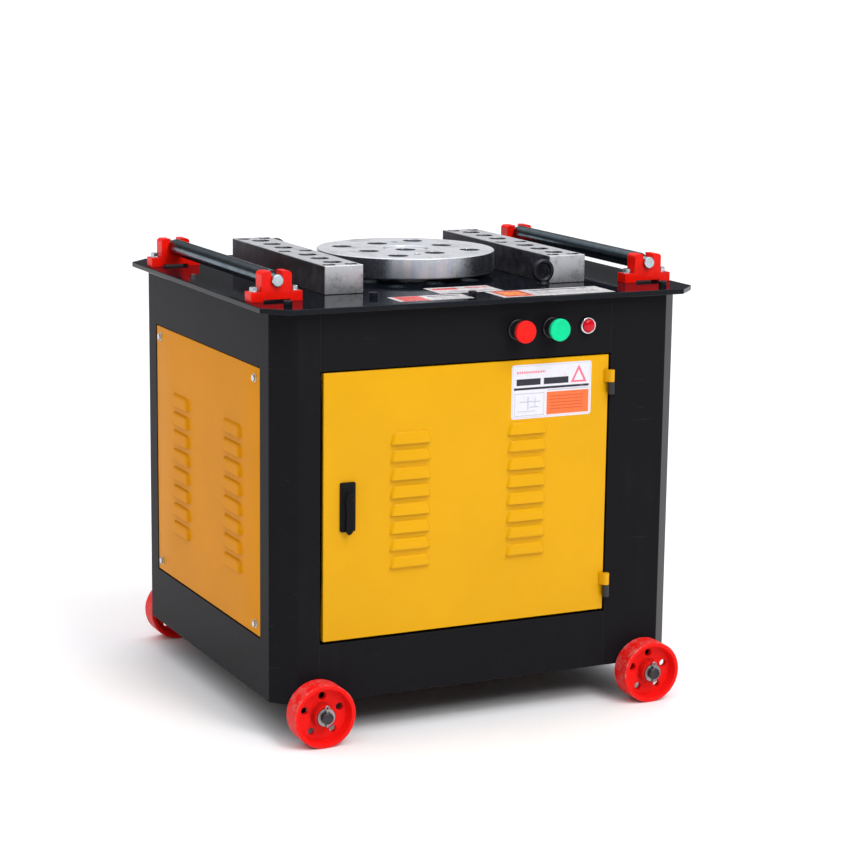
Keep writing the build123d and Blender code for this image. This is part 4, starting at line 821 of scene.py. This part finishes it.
collars = []
for node in ("stop_button", "start_button"):
    low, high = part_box(node)
    x, z = (low.x + high.x) / 2, (low.z + high.z) / 2
    length = -front_y - collar_low.y
    ring = [(stem_hole, -length), (0.0165, -length), (0.0178, -length + 0.0012), (0.018, -0.0075),
            (0.0195, -0.0068), (0.02, -0.005), (0.02, 0), (0.015, 0), (0.015, collar_high.y + front_y),
            (stem_hole, collar_high.y + front_y), (stem_hole, -length)]
    collars.append(merged(surface(node + "_collar", turned(ring, (x, -front_y, z), (0, 1, 0)), "cabinet",
                                  "black_plastic", wrap=True,
                                  replaces=["button_collars"])))
print(joined("button_collar_rings", collars).name, "made from", len(collars), "rings")

# %% The pilot lamp
low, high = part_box("indicator_bezel")
lamp = ((low.x + high.x) / 2, -front_y, (low.z + high.z) / 2)
smooth_radius, dome_radius, dome_rise = 0.0155, 0.0124, 0.0053


def knurled(a, r):
    """r * (1 - 5% * (half a cosine of 24 waves round the rim)), on the outermost stations only."""
    return r * (1 - 0.05 * (r > smooth_radius) * (0.5 + 0.5 * np.cos(24 * a)))


bezel = [(0.0126, -0.002), (0.0126, -0.0076), (0.0140, -0.008), (0.0155, -0.0074), (0.0168, -0.0055),
         (0.0168, -0.0005), (0.015, 0), (0.015, high.y + front_y), (0.0115, high.y + front_y),
         (0.0115, -0.002), (0.0126, -0.002)]
merged(surface("lamp_bezel", turned(bezel, lamp, (0, 1, 0), 0.0006, 192, knurled), "cabinet", "chrome",
               wrap=True, replaces=["indicator_bezel"]))
t = np.linspace(0, np.pi / 2, 12)
dome = list(zip(dome_radius * np.sin(t), -0.0085 - dome_rise * np.cos(t)))
dome += [(dome_radius, -0.0025), (0, -0.0025)]
merged(surface("lamp_lens", turned(dome, lamp, (0, 1, 0), 0, 48), "cabinet", "red_lens",
               wrap=True, replaces=["indicator_lens"]))
print("the lamp stands at", [round(v, 3) for v in lamp])

# %% Prisms: an outline carried straight along a line
def prism(outline, low, high, edge, axes=(0, 1, 2)):
    """Grid of a closed outline carried from `low` to `high`, with rounded ends that close at a point.

    A station is centre + (outline - centre) * scale; the scale falls from 1 to (1 - edge / size)
    over the last `edge` metres, along a quarter circle, and then to 0.
    """
    outline = np.array(outline, float)
    centre = (outline.min(axis=0) + outline.max(axis=0)) / 2
    size = np.abs(outline - centre).min(axis=0).max() + np.ptp(outline, axis=0).min() / 2
    t = np.linspace(0, np.pi / 2, 5)
    scale = 1 - edge / size * (1 - np.sin(t))
    scale = np.concatenate([[0], scale, scale[::-1], [0]])
    rise = edge * (1 - np.cos(t))
    along = np.concatenate([[low], low + rise, high - rise[::-1], [high]])
    across = centre + (outline - centre)[:, None, :] * scale[None, :, None]
    grid = np.zeros((*across.shape[:2], 3))
    grid[..., axes[0]], grid[..., axes[1]], grid[..., axes[2]] = across[..., 0], across[..., 1], along
    return grid


def rounded_loop(corners, radius, steps=4):
    """A closed outline with every corner replaced by the curve that `softened` uses."""
    corners = np.array(corners, float)
    return softened(np.vstack([corners[-1:], corners, corners[:1]]), radius, steps)[1:-1]


# %% Knuckles of the hinges
knuckle_length, knuckle_split = 0.023, 0.0006
upper_knuckle_drop = 0.0129     # top of the cabinet's hinge parts to the foot of the upper knuckle
leaf_start, leaf_end = 0.0035, 0.012
joints = pin_low.z + knuckle_length + knuckle_split, pin_high.z - upper_knuckle_drop
loop = [(hinge_x + knuckle_radius * np.cos(a), hinge_y + knuckle_radius * np.sin(a))
        for a in np.radians(np.arange(-150, 121, 10))]
loop += [(hinge_x - leaf_start, door_face), (hinge_x - leaf_end, door_face),
         (hinge_x - leaf_end, door_face - sheet_thickness)]
knuckles = [merged(surface(f"knuckle_{count}", prism(loop, z, z + knuckle_length, 0.0006), "door_panel",
                           "yellow_paint", wrap=True))
            for count, z in enumerate(joints)]
joined("door_knuckles", knuckles)
print("knuckles start at", [round(z, 4) for z in joints])

# %% [markdown]
# ## The latch
# The latch is a cast base with a swinging handle.  The base is a block with rounded corners.  The
# handle is thick at its hub, waisted below it and ends in a blunt point, so that a finger can get
# behind it; its outline is drawn as a half width at each height.


# %% Base and handle
centre_x = (latch_low.x + latch_high.x) / 2
base_loop = rounded_loop([(latch_low.x, latch_low.z), (latch_high.x, latch_low.z),
                          (latch_high.x, latch_high.z), (latch_low.x, latch_high.z)], 0.0035)
latch_plate = merged(surface("latch_plate", prism(base_loop, latch_low.y + 0.0026, latch_high.y, 0.0008,
                                                  (0, 2, 1)), "door_panel", "black_paint",
                             wrap=True, replaces=["latch_base"]))
rim = 0.003
raised = rounded_loop([(latch_low.x + rim, latch_low.z + 0.004), (latch_high.x - rim, latch_low.z + 0.004),
                       (latch_high.x - rim, latch_high.z - rim), (latch_low.x + rim, latch_high.z - rim)],
                      0.006)
raised_grid = prism(raised, latch_low.y, latch_low.y + 0.004, 0.0022, (0, 2, 1))
raised_plate = merged(surface("latch_rim", raised_grid, "door_panel", "black_paint",
                              wrap=True))
joined("latch_plate", [latch_plate, raised_plate])

handle_low, handle_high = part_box("latch_handle")
pivot_z = 0.4565                # height of the rod that the handle turns
hub = (handle_high.x - handle_low.x) / 2
turn = np.radians(np.arange(0, 181, 15))
reach = pivot_z - handle_low.z
side_z = -reach + np.array([0.058, 0.044, 0.028, 0.018, 0.0095, 0.004, 0.001])
half = np.array([0.0078, 0.0066, 0.0066, 0.0074, 0.0073, 0.0055, 0.0028])
down = [(centre_x - w, pivot_z + z) for w, z in zip(half, side_z)]
outline = [(centre_x + hub * np.cos(a), pivot_z + hub * np.sin(a)) for a in turn] + down
outline += [(centre_x, handle_low.z)] + [(centre_x * 2 - x, z) for x, z in down[::-1]]
base_gap = 0.0004
front, back = handle_low.y, latch_low.y - base_gap
bar = merged(surface("handle_bar", prism(outline, front + 0.003, back, 0.0022, (0, 2, 1)), "latch",
                     "black_paint", wrap=True, replaces=["latch_handle"]))
rod_radius = 0.005
boss = [(0, 0), (hub - 0.003, 0), (hub - 0.0005, 0.0022), (hub - 0.0005, back - front),
        (rod_radius, back - front), (rod_radius, handle_high.y - front), (0, handle_high.y - front)]
boss = merged(surface("handle_boss", turned(boss, (centre_x, front, pivot_z), (0, 1, 0), 0.0015),
                      "latch", "black_paint", wrap=True))
joined("latch_grip", [bar, boss])
print("the handle reaches", round(-handle_low.y, 4), "m in front")

# %% [markdown]
# ## Floor, light and camera
# A pale floor under a bright ceiling does most of the lighting.  Behind the machine the room is white
# only at floor level; above that a dark band keeps the gloss table black, because a table seen at a
# low angle mirrors just that band.  A wide sun and two soft lamps add highlights.


# %% Floor
def floor_grid(half):
    """One flat square at height 0: x and y from -half to +half."""
    line = np.array([-half, half])
    x, y = np.meshgrid(line, line, indexing="ij")
    return np.stack([x, y, np.zeros_like(x)], axis=-1)


ground = Finish("pale_floor", Roughness=0.55)
ground.set("Base Color", ground.mix(ground.rise(ground.noise(2.0, 4.0, 0.6), 0.3, 0.7),
                                    (0.88, 0.88, 0.88), (0.86, 0.86, 0.865)))
finishes["pale_floor"] = ground.material
floor_half = 14.0
floor = surface("floor", floor_grid(floor_half), None, "pale_floor")
floor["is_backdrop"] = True
print("the floor is", 2 * floor_half, "m across")

# %% Lights
world = bpy.data.worlds.new("room")
world.use_nodes = True
sky = world.node_tree.nodes["Background"]
bpy.context.scene.world = world


def room_light(stops):
    """Brightness of the room by height: a colour ramp over the upward share of each direction."""
    tree = world.node_tree
    direction = tree.nodes.new("ShaderNodeTexCoord")
    split, ramp = tree.nodes.new("ShaderNodeSeparateXYZ"), tree.nodes.new("ShaderNodeValToRGB")
    tree.links.new(direction.outputs["Generated"], split.inputs[0])
    tree.links.new(split.outputs["Z"], ramp.inputs["Fac"])
    while len(ramp.color_ramp.elements) < len(stops):
        ramp.color_ramp.elements.new(0.5)
    for stop, (height, value) in zip(ramp.color_ramp.elements, stops):
        stop.position, stop.color = height, (value, value, value * 1.03, 1)
    tree.links.new(ramp.outputs["Color"], sky.inputs["Color"])


room_light([(0.0, 0.44), (0.05, 0.44), (0.085, 0.03), (0.32, 0.05), (0.75, 0.66), (1.0, 0.8)])
sky.inputs["Strength"].default_value = 2.35


def soft_light(name, place, towards, size, power, colour=(1, 1, 1)):
    """A square lamp at a place, facing a point."""
    lamp = bpy.data.lights.new(name, "AREA")
    lamp.shape, lamp.size, lamp.size_y = "RECTANGLE", size[0], size[1]
    lamp.energy, lamp.color = power, colour
    holder = bpy.data.objects.new(name, lamp)
    holder.location = place
    holder.rotation_euler = (Vector(towards) - Vector(place)).to_track_quat("-Z", "Y").to_euler()
    bpy.context.scene.collection.objects.link(holder)


middle = (0, 0, 0.45)
soft_light("front_light", (0.4, -4.4, 3.4), middle, (1.6, 1.2), 60)
soft_light("top_light", (0.2, 0.9, 3.6), middle, (2.0, 2.0), 10)
sun = bpy.data.lights.new("sun", "SUN")
sun.energy, sun.angle = 0.9, np.radians(20)
holder = bpy.data.objects.new("sun", sun)
holder.rotation_euler = (np.radians(35), 0, np.radians(20))
bpy.context.scene.collection.objects.link(holder)
bpy.context.scene.view_settings.view_transform = "Standard"
print("lights:", sorted(light.name for light in bpy.data.lights))

# %% Camera
camera = bpy.data.cameras.new("camera")
camera.sensor_width, camera.lens = 36, 100.55
camera.shift_x, camera.shift_y = -0.056, 0.0157
viewer = bpy.data.objects.new("camera", camera)
camera_place = (-1.9795, -4.2224, 1.412)
yaw, pitch, roll = np.radians([26.816, 11.349, 0.919])
ahead = Vector((np.sin(yaw) * np.cos(pitch), np.cos(yaw) * np.cos(pitch), -np.sin(pitch)))
right = Vector((np.cos(yaw), -np.sin(yaw), 0))
up = right.cross(ahead)
tilted_right = right * np.cos(roll) + up * np.sin(roll)
tilted_up = up * np.cos(roll) - right * np.sin(roll)
turn = Matrix((tilted_right, tilted_up, -ahead)).transposed().to_4x4()
viewer.matrix_world = Matrix.Translation(camera_place) @ turn
bpy.context.scene.collection.objects.link(viewer)
bpy.context.scene.camera = viewer
print("the camera looks along", [round(v, 3) for v in ahead])

# %% Sizes and the end
low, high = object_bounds()
